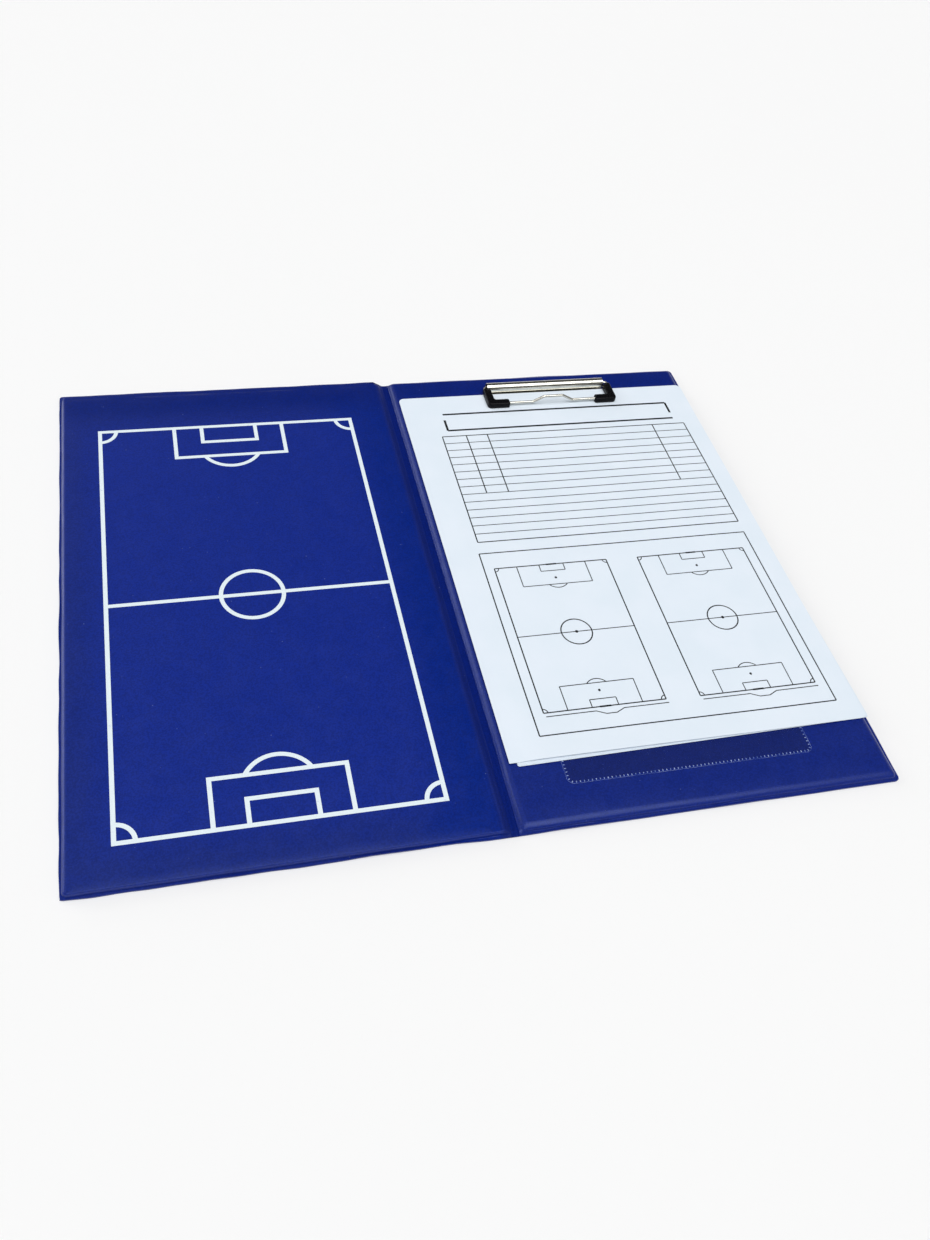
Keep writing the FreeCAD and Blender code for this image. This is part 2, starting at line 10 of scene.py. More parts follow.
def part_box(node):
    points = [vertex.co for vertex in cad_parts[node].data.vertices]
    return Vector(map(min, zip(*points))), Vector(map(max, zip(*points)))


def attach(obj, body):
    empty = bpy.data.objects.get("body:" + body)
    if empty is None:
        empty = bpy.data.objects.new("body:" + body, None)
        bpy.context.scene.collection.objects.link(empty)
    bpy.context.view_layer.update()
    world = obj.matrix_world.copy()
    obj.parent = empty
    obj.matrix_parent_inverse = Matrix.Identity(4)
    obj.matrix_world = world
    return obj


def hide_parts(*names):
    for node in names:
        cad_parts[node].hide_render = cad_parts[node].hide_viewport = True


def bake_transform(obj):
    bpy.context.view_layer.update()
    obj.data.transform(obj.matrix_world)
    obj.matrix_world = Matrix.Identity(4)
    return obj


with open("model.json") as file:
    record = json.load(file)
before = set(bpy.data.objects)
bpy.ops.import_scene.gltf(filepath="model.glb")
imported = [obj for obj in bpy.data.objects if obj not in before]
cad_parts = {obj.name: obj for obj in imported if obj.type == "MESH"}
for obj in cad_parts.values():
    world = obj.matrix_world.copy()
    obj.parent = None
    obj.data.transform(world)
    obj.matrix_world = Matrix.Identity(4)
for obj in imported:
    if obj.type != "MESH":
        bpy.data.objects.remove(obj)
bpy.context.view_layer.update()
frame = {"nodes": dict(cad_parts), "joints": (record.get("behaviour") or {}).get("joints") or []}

# Looks of a folding tactics board: welded vinyl covers, a printed pitch, a wire clip and match sheets.
# Lengths are in metres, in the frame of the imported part.
MM = 0.001

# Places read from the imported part
JOINTS = {joint["name"]: joint for joint in frame["joints"]}
CREASE_X, _, CREASE_Z = JOINTS["right_crease"]["pos_m"]
FOLD_Y = JOINTS["page_turn"]["pos_m"][1]
LINING_LOW, LINING_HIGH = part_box("right_lining")
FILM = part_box("right_outer_skin")[1].z
EDGE_X = LINING_HIGH.x
EDGE_Y = LINING_HIGH.y
RIM_TOP = LINING_LOW.z + FILM
BOARD_TOP = LINING_HIGH.z
SHEET_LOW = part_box("top_sheet")[0]
SHEET_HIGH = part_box("top_sheet_head")[1]
STACK_LOW, STACK_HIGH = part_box("sheet_stack")
POCKET_LOW, POCKET_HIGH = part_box("pocket_seam")


# Helpers for numbers and places

QUARTER = math.pi / 2


def clamped(value):
    """A value held between 0 and 1."""
    return min(1.0, max(0.0, value))


def ease(low, high, value):
    """A smooth step from 0 at low to 1 at high."""
    share = clamped((value - low) / (high - low))
    return share * share * (3.0 - 2.0 * share)


def rounded(share):
    """The height of a quarter round at a share of its width."""
    return math.sqrt(1.0 - (1.0 - share) ** 2)


def bell(value):
    """1 at zero, falling off smoothly on both sides."""
    return math.exp(-value * value)


def wave(x, y, kind, seed=0.0):
    """Smooth noise about zero. Its kind is a wave length and a seed of its own."""
    length, own_seed = kind
    return noise.noise(Vector((x / length, y / length, own_seed + seed)))


def as_share(value):
    """A value between -1 and 1 as a share between 0 and 1."""
    return 0.5 + 0.5 * value


def quarter_turns(count, start=0.0):
    """Angles of even steps through a quarter turn."""
    return [start + QUARTER * step / count for step in range(count + 1)]


def around(centre, radius, turn):
    """A place in plan on a circle."""
    return Vector((centre[0] + radius * math.cos(turn), centre[1] + radius * math.sin(turn)))


def raised(place, level):
    """A place in plan at a level."""
    return Vector((*place, level))


# Mesh helpers. A form is a list of points and a list of faces.

CORNER_STEPS = 6
CRISP_ANGLE = 50.0
MERGE = 1e-7
MITRE_LEAST = 0.5


def placed(name, data):
    """A new object in the scene."""
    thing = bpy.data.objects.new(name, data)
    bpy.context.scene.collection.objects.link(thing)
    return thing


def piece_from(name, points, faces, material, slot, shape=None, mirrored=False):
    """A mesh piece: equal points are merged, a shape may move them, and each keeps its rest place."""
    form = bmesh.new()
    corners = [form.verts.new(point) for point in points]
    for face in faces:
        form.faces.new([corners[number] for number in face])
    bmesh.ops.remove_doubles(form, verts=form.verts, dist=MERGE)
    if shape:
        for corner in form.verts:
            corner.co = shape(corner.co)
    if mirrored:
        for corner in form.verts:
            corner.co.x = -corner.co.x
        bmesh.ops.reverse_faces(form, faces=form.faces)
    mesh = bpy.data.meshes.new(name)
    form.to_mesh(mesh)
    form.free()
    mesh.materials.append(material)
    for face in mesh.polygons:
        face.use_smooth = True
    mesh.set_sharp_from_angle(angle=math.radians(CRISP_ANGLE))
    rest = mesh.attributes.new("rest_place", "FLOAT_VECTOR", "POINT")
    rest.data.foreach_set("vector", [value for vertex in mesh.vertices for value in vertex.co])
    piece = placed(name, mesh)
    return piece


def rounded_loop(low, high, rounds, level, counts):
    """Points round a rectangle, anticlockwise from its lower left corner, at one level."""
    centres = (
        (low[0] + rounds[0], low[1] + rounds[0]),
        (high[0] - rounds[1], low[1] + rounds[1]),
        (high[0] - rounds[2], high[1] - rounds[2]),
        (low[0] + rounds[3], high[1] - rounds[3]),
    )
    arcs = []
    for number, (centre, radius) in enumerate(zip(centres, rounds)):
        turns = quarter_turns(CORNER_STEPS, math.pi + number * QUARTER)
        arcs.append([raised(around(centre, radius, turn), level) for turn in turns])
    points = []
    for number, arc in enumerate(arcs):
        onward = arcs[(number + 1) % len(arcs)][0]
        count = counts[number % 2]
        points += arc
        points += [arc[-1].lerp(onward, step / count) for step in range(1, count)]
    return points


def bands(loops):
    """Points of several loops of one size, and the faces between them."""
    size = len(loops[0])
    points = [point for loop in loops for point in loop]
    faces = []
    for start in range(0, len(points) - size, size):
        for step in range(size):
            onward = (step + 1) % size
            faces.append((start + step, start + onward, start + size + onward, start + size + step))
    return points, faces


def capped(loops):
    """A solid: bands between loops, with a flat cap on the first and the last."""
    points, faces = bands(loops)
    size = len(loops[0])
    faces.append(tuple(reversed(range(size))))
    faces.append(tuple(range(len(points) - size, len(points))))
    return points, faces


def grid(start, columns, rows, upward=True):
    """Faces of a grid of points that are listed row by row from a first number."""
    width = columns + 1
    corners = [start + row * width + column for row in range(rows) for column in range(columns)]
    quads = [(corner, corner + 1, corner + width + 1, corner + width) for corner in corners]
    return quads if upward else [quad[::-1] for quad in quads]


def shell(loops, counts):
    """A closed skin: bands between loops, with a grid across the first and the last."""
    points, faces = bands(loops)
    columns, rows = counts
    for loop, upward in ((loops[0], False), (loops[-1], True)):
        low, high = loop[0], loop[2 * (CORNER_STEPS + 1) + columns - 1 + rows - 1]
        faces += grid(len(points), columns, rows, upward)
        for row in range(rows + 1):
            y = low.y + (high.y - low.y) * row / rows
            for column in range(columns + 1):
                points.append(Vector((low.x + (high.x - low.x) * column / columns, y, low.z)))
    return points, faces


def ribbon(line, width, low, high):
    """A thin strip of one width along an open line of places."""
    steps = [(there - here).normalized() for here, there in zip(line, line[1:])]
    loops = []
    for place, before, after in zip(line, steps[:1] + steps, steps + steps[-1:]):
        along = (before + after).normalized()
        side = Vector((-along.y, along.x)) * (width / 2 / max(MITRE_LEAST, along.dot(before)))
        corners = ((side, low), (-side, low), (-side, high), (side, high))
        loops.append([raised(place + across, level) for across, level in corners])
    return capped(loops)


def gather(parts):
    """Several forms as one."""
    points = []
    faces = []
    for part_points, part_faces in parts:
        faces += [tuple(number + len(points) for number in face) for face in part_faces]
        points += part_points
    return points, faces


# Materials. Colours come in pairs where noise mixes two tones; places are where the vinyl's tone changes,
# with painted shade by its welds, beside the spine, along its top edge and in the crease.

VINYL = (0.0054, 0.0206, 0.236)
# Painted shade: darker tones of the vinyl by its welds, beside the spine and along its top edge.
VINYL_PAINTED_SHADE_BY_WELD = (0.0058, 0.0186, 0.190)
VINYL_PAINTED_SHADE_BY_SPINE = (0.0004, 0.0150, 0.200)
VINYL_PAINTED_SHADE_BY_TOP = (0.0002, 0.0115, 0.165)
# Painted shade in the crease: a darker tone standing in for the shade of the valley at the spine.
VINYL_PAINTED_SHADE_IN_CREASE = (0.0008, 0.0105, 0.150)
VINYL_SHEEN = (0.52, 0.63, 1.0, 1.0)
VINYL_SPECK = (0.10, 0.14, 0.36)
VINYL_GRAIN = 0.8 * MM
COVER_GLOSS, SPINE_GLOSS = 0.46, 0.14
UNSHADED_MIDDLE_X = (-0.214, -0.190, -0.045, -0.014)
UNSHADED_MIDDLE_Y = (-0.172, -0.148, 0.130, 0.160)
SPINE_SHADE_X = (-0.060, -0.030, 0.000, 0.002)
TOP_SHADE_Y = (0.140, 0.168)
CREASE_SHADE_AND_ROUGH_X = (-0.009, -0.0045, 0.0014, 0.0022)
INK, INK_THIN = (0.80, 0.90, 0.95), (0.60, 0.70, 0.86)
PAPER = (0.79, 0.87, 0.955)
PAPER_CLOUDS = ((0.775, 0.86, 0.945), (0.805, 0.88, 0.965))
TONER = (0.005, 0.006, 0.008)
TONER_FADE = ((0.004, 0.005, 0.007), (0.026, 0.030, 0.038))
CLEAR_FILM = (0.02, 0.025, 0.07)
# Painted highlight: the pale colour of the seam stands in for light caught on its raised rungs.
SEAM_PAINTED_HIGHLIGHT = (0.30, 0.36, 0.62)
SEAM_HIGHLIGHT_TONES = ((0.09, 0.16, 0.48), (0.38, 0.48, 0.80))
STEEL = (0.70, 0.69, 0.63)
STEEL_TONES = ((0.72, 0.71, 0.65), (0.65, 0.64, 0.58))
STEEL_MARKS = (0.02, 1.0, 1.0)
PLASTIC, PLASTIC_WORN = (0.003, 0.003, 0.004), (0.007, 0.007, 0.008)
CARD = (0.38, 0.33, 0.26)
CARD_FIBRES = ((0.30, 0.26, 0.20), (0.46, 0.41, 0.33))
FLOOR = (0.965, 0.965, 0.965)
FLOOR_TONES = ((0.96, 0.96, 0.96), (0.97, 0.97, 0.97))


class Graph:
    """Short ways to add nodes to one node tree."""

    def __init__(self, tree):
        self.tree = tree

    def feed(self, node, socket, value):
        """Set an input to a value, or link it to another node's output."""
        if isinstance(value, bpy.types.NodeSocket):
            self.tree.links.new(value, node.inputs[socket])
        else:
            node.inputs[socket].default_value = value

    def node(self, kind, inputs, operation=None):
        """A new node with its inputs fed."""
        node = self.tree.nodes.new("ShaderNode" + kind)
        if operation:
            node.operation = operation
        for socket, value in inputs.items():
            self.feed(node, socket, value)
        return node

    def maths(self, operation, *values):
        """The result of an operation on one or two numbers."""
        return self.node("Math", dict(enumerate(values)), operation).outputs["Value"]

    def axis(self, place, name):
        """One coordinate of a place."""
        return self.node("SeparateXYZ", {"Vector": place}).outputs[name]

    def span(self, value, low, high, to_low=0.0, to_high=1.0):
        """A value mapped smoothly from one range to another."""
        limits = {"From Min": low, "From Max": high, "To Min": to_low, "To Max": to_high}
        node = self.node("MapRange", {"Value": value, **limits})
        node.interpolation_type = "SMOOTHSTEP"
        return node.outputs["Result"]


class Shader(Graph):
    """A procedural material built round one principled surface."""

    def __init__(self, name, colour, roughness, at_rest=True, **inputs):
        self.material = bpy.data.materials.new(name)
        self.material.use_nodes = True
        super().__init__(self.material.node_tree)
        self.surface = self.tree.nodes["Principled BSDF"]
        for socket, value in {"Base_Color": (*colour, 1.0), "Roughness": roughness, **inputs}.items():
            self.feed(self.surface, socket.replace("_", " "), value)
        if at_rest:
            place = self.node("Attribute", {})
            place.attribute_name = "rest_place"
            self.place = place.outputs["Vector"]
        else:
            self.place = self.node("TexCoord", {}).outputs["Object"]

    def noise(self, size, detail=3.0, place=None):
        """Noise whose features are about one size across."""
        inputs = {"Scale": 1.0 / size, "Detail": detail, "Vector": place or self.place}
        return self.node("TexNoise", inputs).outputs["Fac"]

    def band(self, value, low, low_full, high_full, high):
        """1 inside a band of values, fading to 0 at its outer limits."""
        inside = self.span(value, high_full, high, 1.0, 0.0)
        return self.maths("MULTIPLY", self.span(value, low, low_full), inside)

    def mixed(self, factor, first, second):
        """A colour between two, each a colour or another node's output."""
        node = self.node("Mix", {})
        node.data_type = "RGBA"
        for socket, value in (("Factor", factor), (6, first), (7, second)):
            self.feed(node, socket, (*value, 1.0) if isinstance(value, tuple) else value)
        return node.outputs[2]

    def colour(self, output):
        self.feed(self.surface, "Base Color", output)

    def clouded(self, size, low, high, first, second):
        """Colour the surface with two tones that noise mixes."""
        self.colour(self.mixed(self.span(self.noise(size), low, high), first, second))

    def roughness(self, output):
        self.feed(self.surface, "Roughness", output)

    def bump(self, *layers):
        """Stacked relief: each layer is a height output and its depth."""
        below = {}
        for height, depth in layers:
            node = self.node("Bump", {"Distance": depth, "Height": height, **below})
            below = {"Normal": node.outputs["Normal"]}
        self.feed(self.surface, "Normal", below["Normal"])


def vinyl_material(name, gloss):
    """Royal blue soft vinyl: a fine emboss, darker with painted shade by the welds, the spine, the top edge
    and the crease, with a few pale specks.
    """
    shader = Shader(name, VINYL, 0.34, Specular_IOR_Level=gloss, Specular_Tint=VINYL_SHEEN)
    across, along = shader.axis(shader.place, "X"), shader.axis(shader.place, "Y")
    # Painted shade: the vinyl keeps its plain tone only in the middle of a cover and is painted darker by its
    # welds, beside the spine and along its top edge.
    middle = shader.maths("MULTIPLY", shader.band(across, *UNSHADED_MIDDLE_X), shader.band(along, *UNSHADED_MIDDLE_Y))
    edges = shader.mixed(shader.band(across, *SPINE_SHADE_X), VINYL_PAINTED_SHADE_BY_WELD, VINYL_PAINTED_SHADE_BY_SPINE)
    edges = shader.mixed(shader.span(along, *TOP_SHADE_Y), edges, VINYL_PAINTED_SHADE_BY_TOP)
    tone = shader.mixed(middle, edges, VINYL)
    # Painted shade in the crease: the band paints the vinyl darker there, and also makes it rougher.
    creased = shader.band(across, *CREASE_SHADE_AND_ROUGH_X)
    tone = shader.mixed(creased, tone, VINYL_PAINTED_SHADE_IN_CREASE)
    mottle = shader.span(shader.noise(0.9 * MM, detail=2.0), 0.35, 0.65, 0.84, 1.16)
    specks = shader.span(shader.noise(1.6 * MM, detail=1.0), 0.80, 0.84)
    mottled = shader.node("VectorMath", {0: tone, "Scale": mottle}, "SCALE")
    shader.colour(shader.mixed(specks, mottled.outputs["Vector"], VINYL_SPECK))
    even = shader.span(shader.noise(9.0 * MM), 0.25, 0.75, 0.29, 0.38)
    shader.roughness(shader.maths("MULTIPLY", even, shader.span(creased, 0.0, 1.0, 1.0, 1.7)))
    grain = shader.node("TexVoronoi", {"Scale": 1.0 / VINYL_GRAIN, "Vector": shader.place})
    dents = shader.noise(16.0 * MM, detail=2.0)
    shader.bump((dents, 0.10 * MM), (grain.outputs["Distance"], 0.03 * MM))
    return shader.material


def ink_material():
    """White screen ink: slightly uneven, so that a little blue shows through."""
    shader = Shader("white_ink", INK, 0.5, at_rest=False, Specular_IOR_Level=0.35)
    shader.clouded(2.2 * MM, 0.62, 0.80, INK, INK_THIN)
    shader.bump((shader.noise(0.5 * MM), 0.01 * MM))
    return shader.material


def paper_material():
    """Cool white copy paper with a faint fibre."""
    shader = Shader("white_paper", PAPER, 0.75, Specular_IOR_Level=0.25)
    shader.clouded(30.0 * MM, 0.3, 0.7, *PAPER_CLOUDS)
    shader.bump((shader.noise(0.35 * MM), 0.012 * MM))
    return shader.material


def print_material():
    """Near-black toner, a little uneven along each line."""
    shader = Shader("black_print", TONER, 0.7, Specular_IOR_Level=0.2)
    shader.clouded(1.2 * MM, 0.45, 0.85, *TONER_FADE)
    return shader.material


def film_material():
    """Thin clear film, slightly smoky, with a soft gloss."""
    shader = Shader("clear_film", CLEAR_FILM, 0.2, Alpha=0.10, Specular_IOR_Level=0.35)
    shader.roughness(shader.span(shader.noise(12.0 * MM), 0.3, 0.7, 0.14, 0.30))
    shader.bump((shader.noise(22.0 * MM, detail=1.0), 0.25 * MM))
    return shader.material


def seam_material():
    """Film along the welded seam, coloured pale as a painted highlight on its raised rungs."""
    shader = Shader("seam_painted_highlight_film", SEAM_PAINTED_HIGHLIGHT, 0.35, Alpha=0.92)
    shader.clouded(3.0 * MM, 0.35, 0.65, *SEAM_HIGHLIGHT_TONES)
    return shader.material


def steel_material():
    """Bright nickel plate with fine lengthwise rolling marks."""
    shader = Shader("plated_steel", STEEL, 0.17, at_rest=False, Metallic=1.0)
    stretched = shader.node("VectorMath", {0: shader.place, 1: STEEL_MARKS}, "MULTIPLY")
    marks = shader.noise(0.5 * MM, place=stretched.outputs["Vector"])
    shader.roughness(shader.span(marks, 0.3, 0.7, 0.15, 0.20))
    shader.clouded(6.0 * MM, 0.4, 0.7, *STEEL_TONES)
    return shader.material


def sleeve_material():
    """Black moulded plastic with a satin skin, slightly worn."""
    shader = Shader("black_plastic", PLASTIC, 0.28, Specular_IOR_Level=0.13)
    shader.roughness(shader.span(shader.noise(1.5 * MM), 0.3, 0.7, 0.22, 0.34))
    shader.clouded(4.0 * MM, 0.55, 0.8, PLASTIC, PLASTIC_WORN)
    shader.bump((shader.noise(0.3 * MM), 0.01 * MM))
    return shader.material


def card_material():
    """Grey-brown pressed board."""
    shader = Shader("pressed_board", CARD, 0.85, at_rest=False)
    fibre = shader.noise(0.8 * MM, detail=5.0)
    shader.colour(shader.mixed(fibre, *CARD_FIBRES))
    shader.bump((fibre, 0.05 * MM))
    return shader.material


# Vinyl covers: a flat rim, a rounded shoulder on three sides and a long slope down to the crease

WELD_LAND = 1.8 * MM
RIM_ROUND = 3.0 * MM
DOME_ROUND = 2.5 * MM
CORNER_TIGHTEN = 0.7
SHOULDER = 2.9 * MM
FOOT = 0.35 * MM
BEAD = 0.22 * MM
BEAD_HALF = 0.45 * MM
END_DIP = 1.9 * MM
OUTER_STEP = 0.14 * MM
CREASE_GROOVE = 0.2 * MM
GROOVE_HALF = 1.0 * MM
LIFT_FROM, LIFT_FULL = 4.2 * MM, 8.0 * MM
LIFT_CORNER = 2.2 * MM
CELL = 6.0 * MM
LAND_STEPS = 5
SHOULDER_STEPS = 16
FLAT_INSET = 14.0 * MM
# Loops between the shoulder and the flat middle: an inset and a share of the dome's round
FLAT_LOOPS = ((2.5 * MM, 1.0), (5.0 * MM, 0.5), (9.0 * MM, 0.25))

# How far the loose film leaves its plain form, and the wave length and seed of each unevenness
RIM_LIFT = 0.7 * MM
RIM_LIFT_BIAS = 0.25
PUFF = 0.3 * MM
HUMP = 0.34 * MM
HUMP_MOST = 0.42 * MM
HUMP_EVEN_SHARE, HUMP_VARIED_SHARE = 0.7, 0.6
SLACK = 0.16 * MM
SLACK_REACH = 18.0 * MM
SLACK_FULL = 0.4 * SLACK_REACH
LOOSE_FROM, LOOSE_FULL = EDGE_Y - 3 * SLACK_REACH, EDGE_Y - 2 * SLACK_REACH
RIM_WAVE = (34.0 * MM, 0.0)
PULL_WAVE = (17.0 * MM, 9.0)
PUFF_WAVE = (26.0 * MM, 5.0)
HUMP_WAVE = (40.0 * MM, 7.0)
SLACK_WAVE = (13.0 * MM, 2.0)

# Wrinkles along the spine
WRINKLE = 0.38 * MM
WRINKLE_PITCH = 2.3 * MM
WRINKLE_REACH = 85.0 * MM
WRINKLE_LEAST_SHARE = 0.04
WRINKLE_TOP_SHARE = 0.25
WRINKLE_VARIED_SHARE = 0.4
WRINKLE_DRIFT = 6.4
DRIFT_WAVE = (60.0 * MM, 0.0)
RIPPLE_WAVE = (9.0 * MM, 3.0)

# What differs between the covers. Where the lining comes down to the spine: its edge, its slope's foot and
# top, the foot's rise, the end of the steep part and the share of the rise left for the gentle part. Then
# how wide its shoulder is along the lower and the outer edge, how slack the film is along the lower edge, how
# far its top edge is drawn in beside the spine and stands up, how far its rim wanders, and its seed.
Slope = namedtuple("Slope", "edge foot top rise brow gentle front side slack dip lift pull seed")
SLOPES = {
    "left": Slope(
        edge=1.9 * MM, foot=1.6 * MM, top=11.5 * MM, rise=0.80 * MM, brow=6.4 * MM, gentle=0.16,
        front=0.25, side=1.0, slack=0.25, dip=5.0 * MM, lift=2.6 * MM, pull=1.0 * MM, seed=3.7,
    ),
    "right": Slope(
        edge=1.75 * MM, foot=2.1 * MM, top=6.6 * MM, rise=0.0, brow=6.6 * MM, gentle=0.0,
        front=1.4, side=1.4, slack=2.0, dip=14.0 * MM, lift=0.0, pull=0.3 * MM, seed=11.3,
    ),
}


def end_dip(x, y, slope):
    """How far the top edge is drawn in where it nears the spine."""
    return END_DIP * clamped((y - (EDGE_Y - WELD_LAND)) / WELD_LAND) * bell(x / slope.dip)


def lift_along(x, slope):
    """1 where the top edge's rim stands up, less at its corner and 0 at the spine."""
    if not slope.lift:
        return 0.0
    return ease(LIFT_FROM, LIFT_FULL, x) * (1.0 - ease(EDGE_X - LIFT_CORNER, EDGE_X + LIFT_CORNER, x))


def rim_lift(x, y, slope):
    """How far the rim along the top edge stands up."""
    return slope.lift * ease(EDGE_Y - WELD_LAND - FOOT, EDGE_Y - FOOT, y) * lift_along(x, slope)


def filled(level, x, y, top, slope):
    """The lining's level, carried on nearly flat to an edge whose rim stands up."""
    out = (y - (EDGE_Y - WELD_LAND - SHOULDER)) / (WELD_LAND + SHOULDER)
    if out <= 0.0:
        return level
    edge = min(top, RIM_TOP + slope.lift + (top - RIM_TOP - slope.lift) * (1.0 - out * out))
    by_side = ease(EDGE_X - WELD_LAND - SHOULDER, EDGE_X - WELD_LAND, x)
    risen = 1.0 - by_side * (1.0 - ease(0.0, 1.0, out))
    return level + lift_along(x, slope) * risen * max(0.0, edge - level)


def rim_share(x, y, slope):
    """How far out a point lies on the welded rim, away from the creases."""
    out = max(x - (EDGE_X - WELD_LAND), abs(y) - (EDGE_Y - WELD_LAND))
    return clamped(out / WELD_LAND) * ease(slope.top, slope.top + SLACK_REACH, x)


def outward(x, y):
    """The direction from the cover's middle across its nearest edge."""
    if x - (EDGE_X - SLACK_REACH) > abs(y) - (EDGE_Y - SLACK_REACH):
        return Vector((1.0, 0.0, 0.0))
    return Vector((0.0, math.copysign(1.0, y), 0.0))


def rim_shape(point, slope):
    """The welded rim is not quite straight and lifts a little off the table."""
    x, y = point.xy
    share = rim_share(x, y, slope)
    lift = RIM_LIFT * max(0.0, wave(x, y, RIM_WAVE, slope.seed) + RIM_LIFT_BIAS)
    pull = slope.pull * as_share(wave(x, y, PULL_WAVE, slope.seed))
    moved = point - outward(x, y) * pull * share
    moved.y -= end_dip(x, y, slope)
    moved.z += lift * share * (1.0 - lift_along(x, slope) * (y > 0.0))
    return moved


def wrinkle(x, y, seed):
    """Heights of fine wrinkles along the spine, strongest towards its lower end."""
    far = EDGE_Y - WRINKLE_REACH
    near_end = ease(far, EDGE_Y, -y) + WRINKLE_TOP_SHARE * ease(far, EDGE_Y, y)
    depth = WRINKLE_LEAST_SHARE + (1.0 - WRINKLE_LEAST_SHARE) * near_end
    drift = WRINKLE_DRIFT * wave(0.0, y, DRIFT_WAVE, seed)
    ripple = math.sin(2.0 * math.pi * x / WRINKLE_PITCH + drift)
    varied = 1.0 - WRINKLE_VARIED_SHARE + WRINKLE_VARIED_SHARE * wave(x, y, RIPPLE_WAVE, seed)
    return WRINKLE * depth * ripple * varied


def end_share(y, slope):
    """How far the form has risen from a top or bottom edge."""
    reach = SHOULDER if y > 0.0 else SHOULDER * slope.front
    return rounded(clamped((EDGE_Y - WELD_LAND - abs(y)) / reach))


def slope_level(x, slope):
    """Height of the lining over the rim on its way down to the spine."""
    height = BOARD_TOP - RIM_TOP - slope.rise
    if slope.gentle:
        steep = ease(slope.foot, slope.brow, x) * (1.0 - slope.gentle)
        return slope.rise + height * (steep + slope.gentle * ease(slope.foot, slope.top, x))
    climb = clamped((x - slope.foot) / (slope.top - slope.foot))
    return height * math.sin(QUARTER * climb) + BEAD * bell((x - slope.foot - BEAD_HALF) / BEAD_HALF)


def slack_rise(x, y, slope):
    """How far the film stands off the board behind the shoulder, in soft humps and dimples."""
    inset = min(EDGE_X - x, EDGE_Y - abs(y)) - WELD_LAND - SHOULDER
    near_edge = (1.0 - ease(SLACK_FULL, SLACK_REACH, inset)) * ease(slope.foot, slope.top + SLACK_REACH, x)
    loose = 1.0 + (slope.slack - 1.0) * ease(LOOSE_FROM, LOOSE_FULL, -y)
    hump = HUMP * (HUMP_EVEN_SHARE + HUMP_VARIED_SHARE * wave(x, y, HUMP_WAVE, slope.seed))
    hump = min(HUMP_MOST, hump * loose) * ease(-SHOULDER, SLACK_FULL, inset)
    dimple = SLACK * wave(x, y, SLACK_WAVE, slope.seed) * min(1.0, loose)
    return (hump + dimple) * near_edge


def inner_shape(slope):
    """Puffed shoulders, film that stands off the board near its edges, and wrinkles by the crease."""
    def shape(point):
        x, y = point.xy
        moved = rim_shape(point, slope)
        if point.z < RIM_TOP - FILM / 4:
            moved.z += rim_lift(x, y, slope)
            return moved
        climb = (point.z - RIM_TOP) / (BOARD_TOP - RIM_TOP)
        if x < slope.top:
            ends = end_share(y, slope)
            top = slope_level(x, slope)
            climb = top / (BOARD_TOP - RIM_TOP)
            moved.z += filled(RIM_TOP + top * ends, x, y, RIM_TOP + top, slope) - point.z
            moved.z += wrinkle(x, y, slope.seed) * ends * (1.0 - ease(slope.foot, slope.top, x))
        elif y > EDGE_Y - WELD_LAND - SHOULDER and lift_along(x, slope):
            moved.z += filled(point.z, x, y, BOARD_TOP, slope) - point.z
            return moved
        elif climb <= 0.0:
            return moved
        elif climb < 1.0:
            puff = PUFF * as_share(wave(x, y, PUFF_WAVE, slope.seed))
            moved += outward(x, y) * puff * 4.0 * climb * (1.0 - climb)
        moved.z += climb * slack_rise(x, y, slope)
        return moved
    return shape


def outer_shape(slope):
    """The rim follows the lining's, and the crease is pressed in from below."""
    def shape(point):
        moved = rim_shape(point, slope)
        moved.z += rim_lift(point.x, point.y, slope)
        if point.z < FILM / 2:
            moved.z += (CREASE_GROOVE - point.z / 2) * bell((point.x - CREASE_X) / GROOVE_HALF)
        return moved
    return shape


def cover_loops(steps, slope):
    """Loops of one cover, each from its inset, the place of its crease side, its round and its level."""
    counts = (round(EDGE_X / CELL), round(2 * EDGE_Y / CELL))
    loops = []
    for inset, near_x, corner, level in steps:
        on_shoulder = WELD_LAND < inset <= WELD_LAND + SHOULDER
        front = WELD_LAND + (inset - WELD_LAND) * slope.front if on_shoulder else inset
        side = WELD_LAND + (inset - WELD_LAND) * slope.side if on_shoulder else inset
        low = Vector((near_x, front - EDGE_Y))
        high = Vector((EDGE_X - side, EDGE_Y - inset))
        near = corner if near_x > slope.edge else 0.0
        loops.append(rounded_loop(low, high, (near, corner, corner, near), level, counts))
    return loops, counts


def land_steps(slope, level, inward=True):
    """Loops across the flat rim."""
    steps = [
        (WELD_LAND * share, slope.edge + FOOT * share, RIM_ROUND + (DOME_ROUND - RIM_ROUND) * share, level)
        for share in (step / LAND_STEPS for step in range(LAND_STEPS + 1))
    ]
    return steps if inward else steps[::-1]


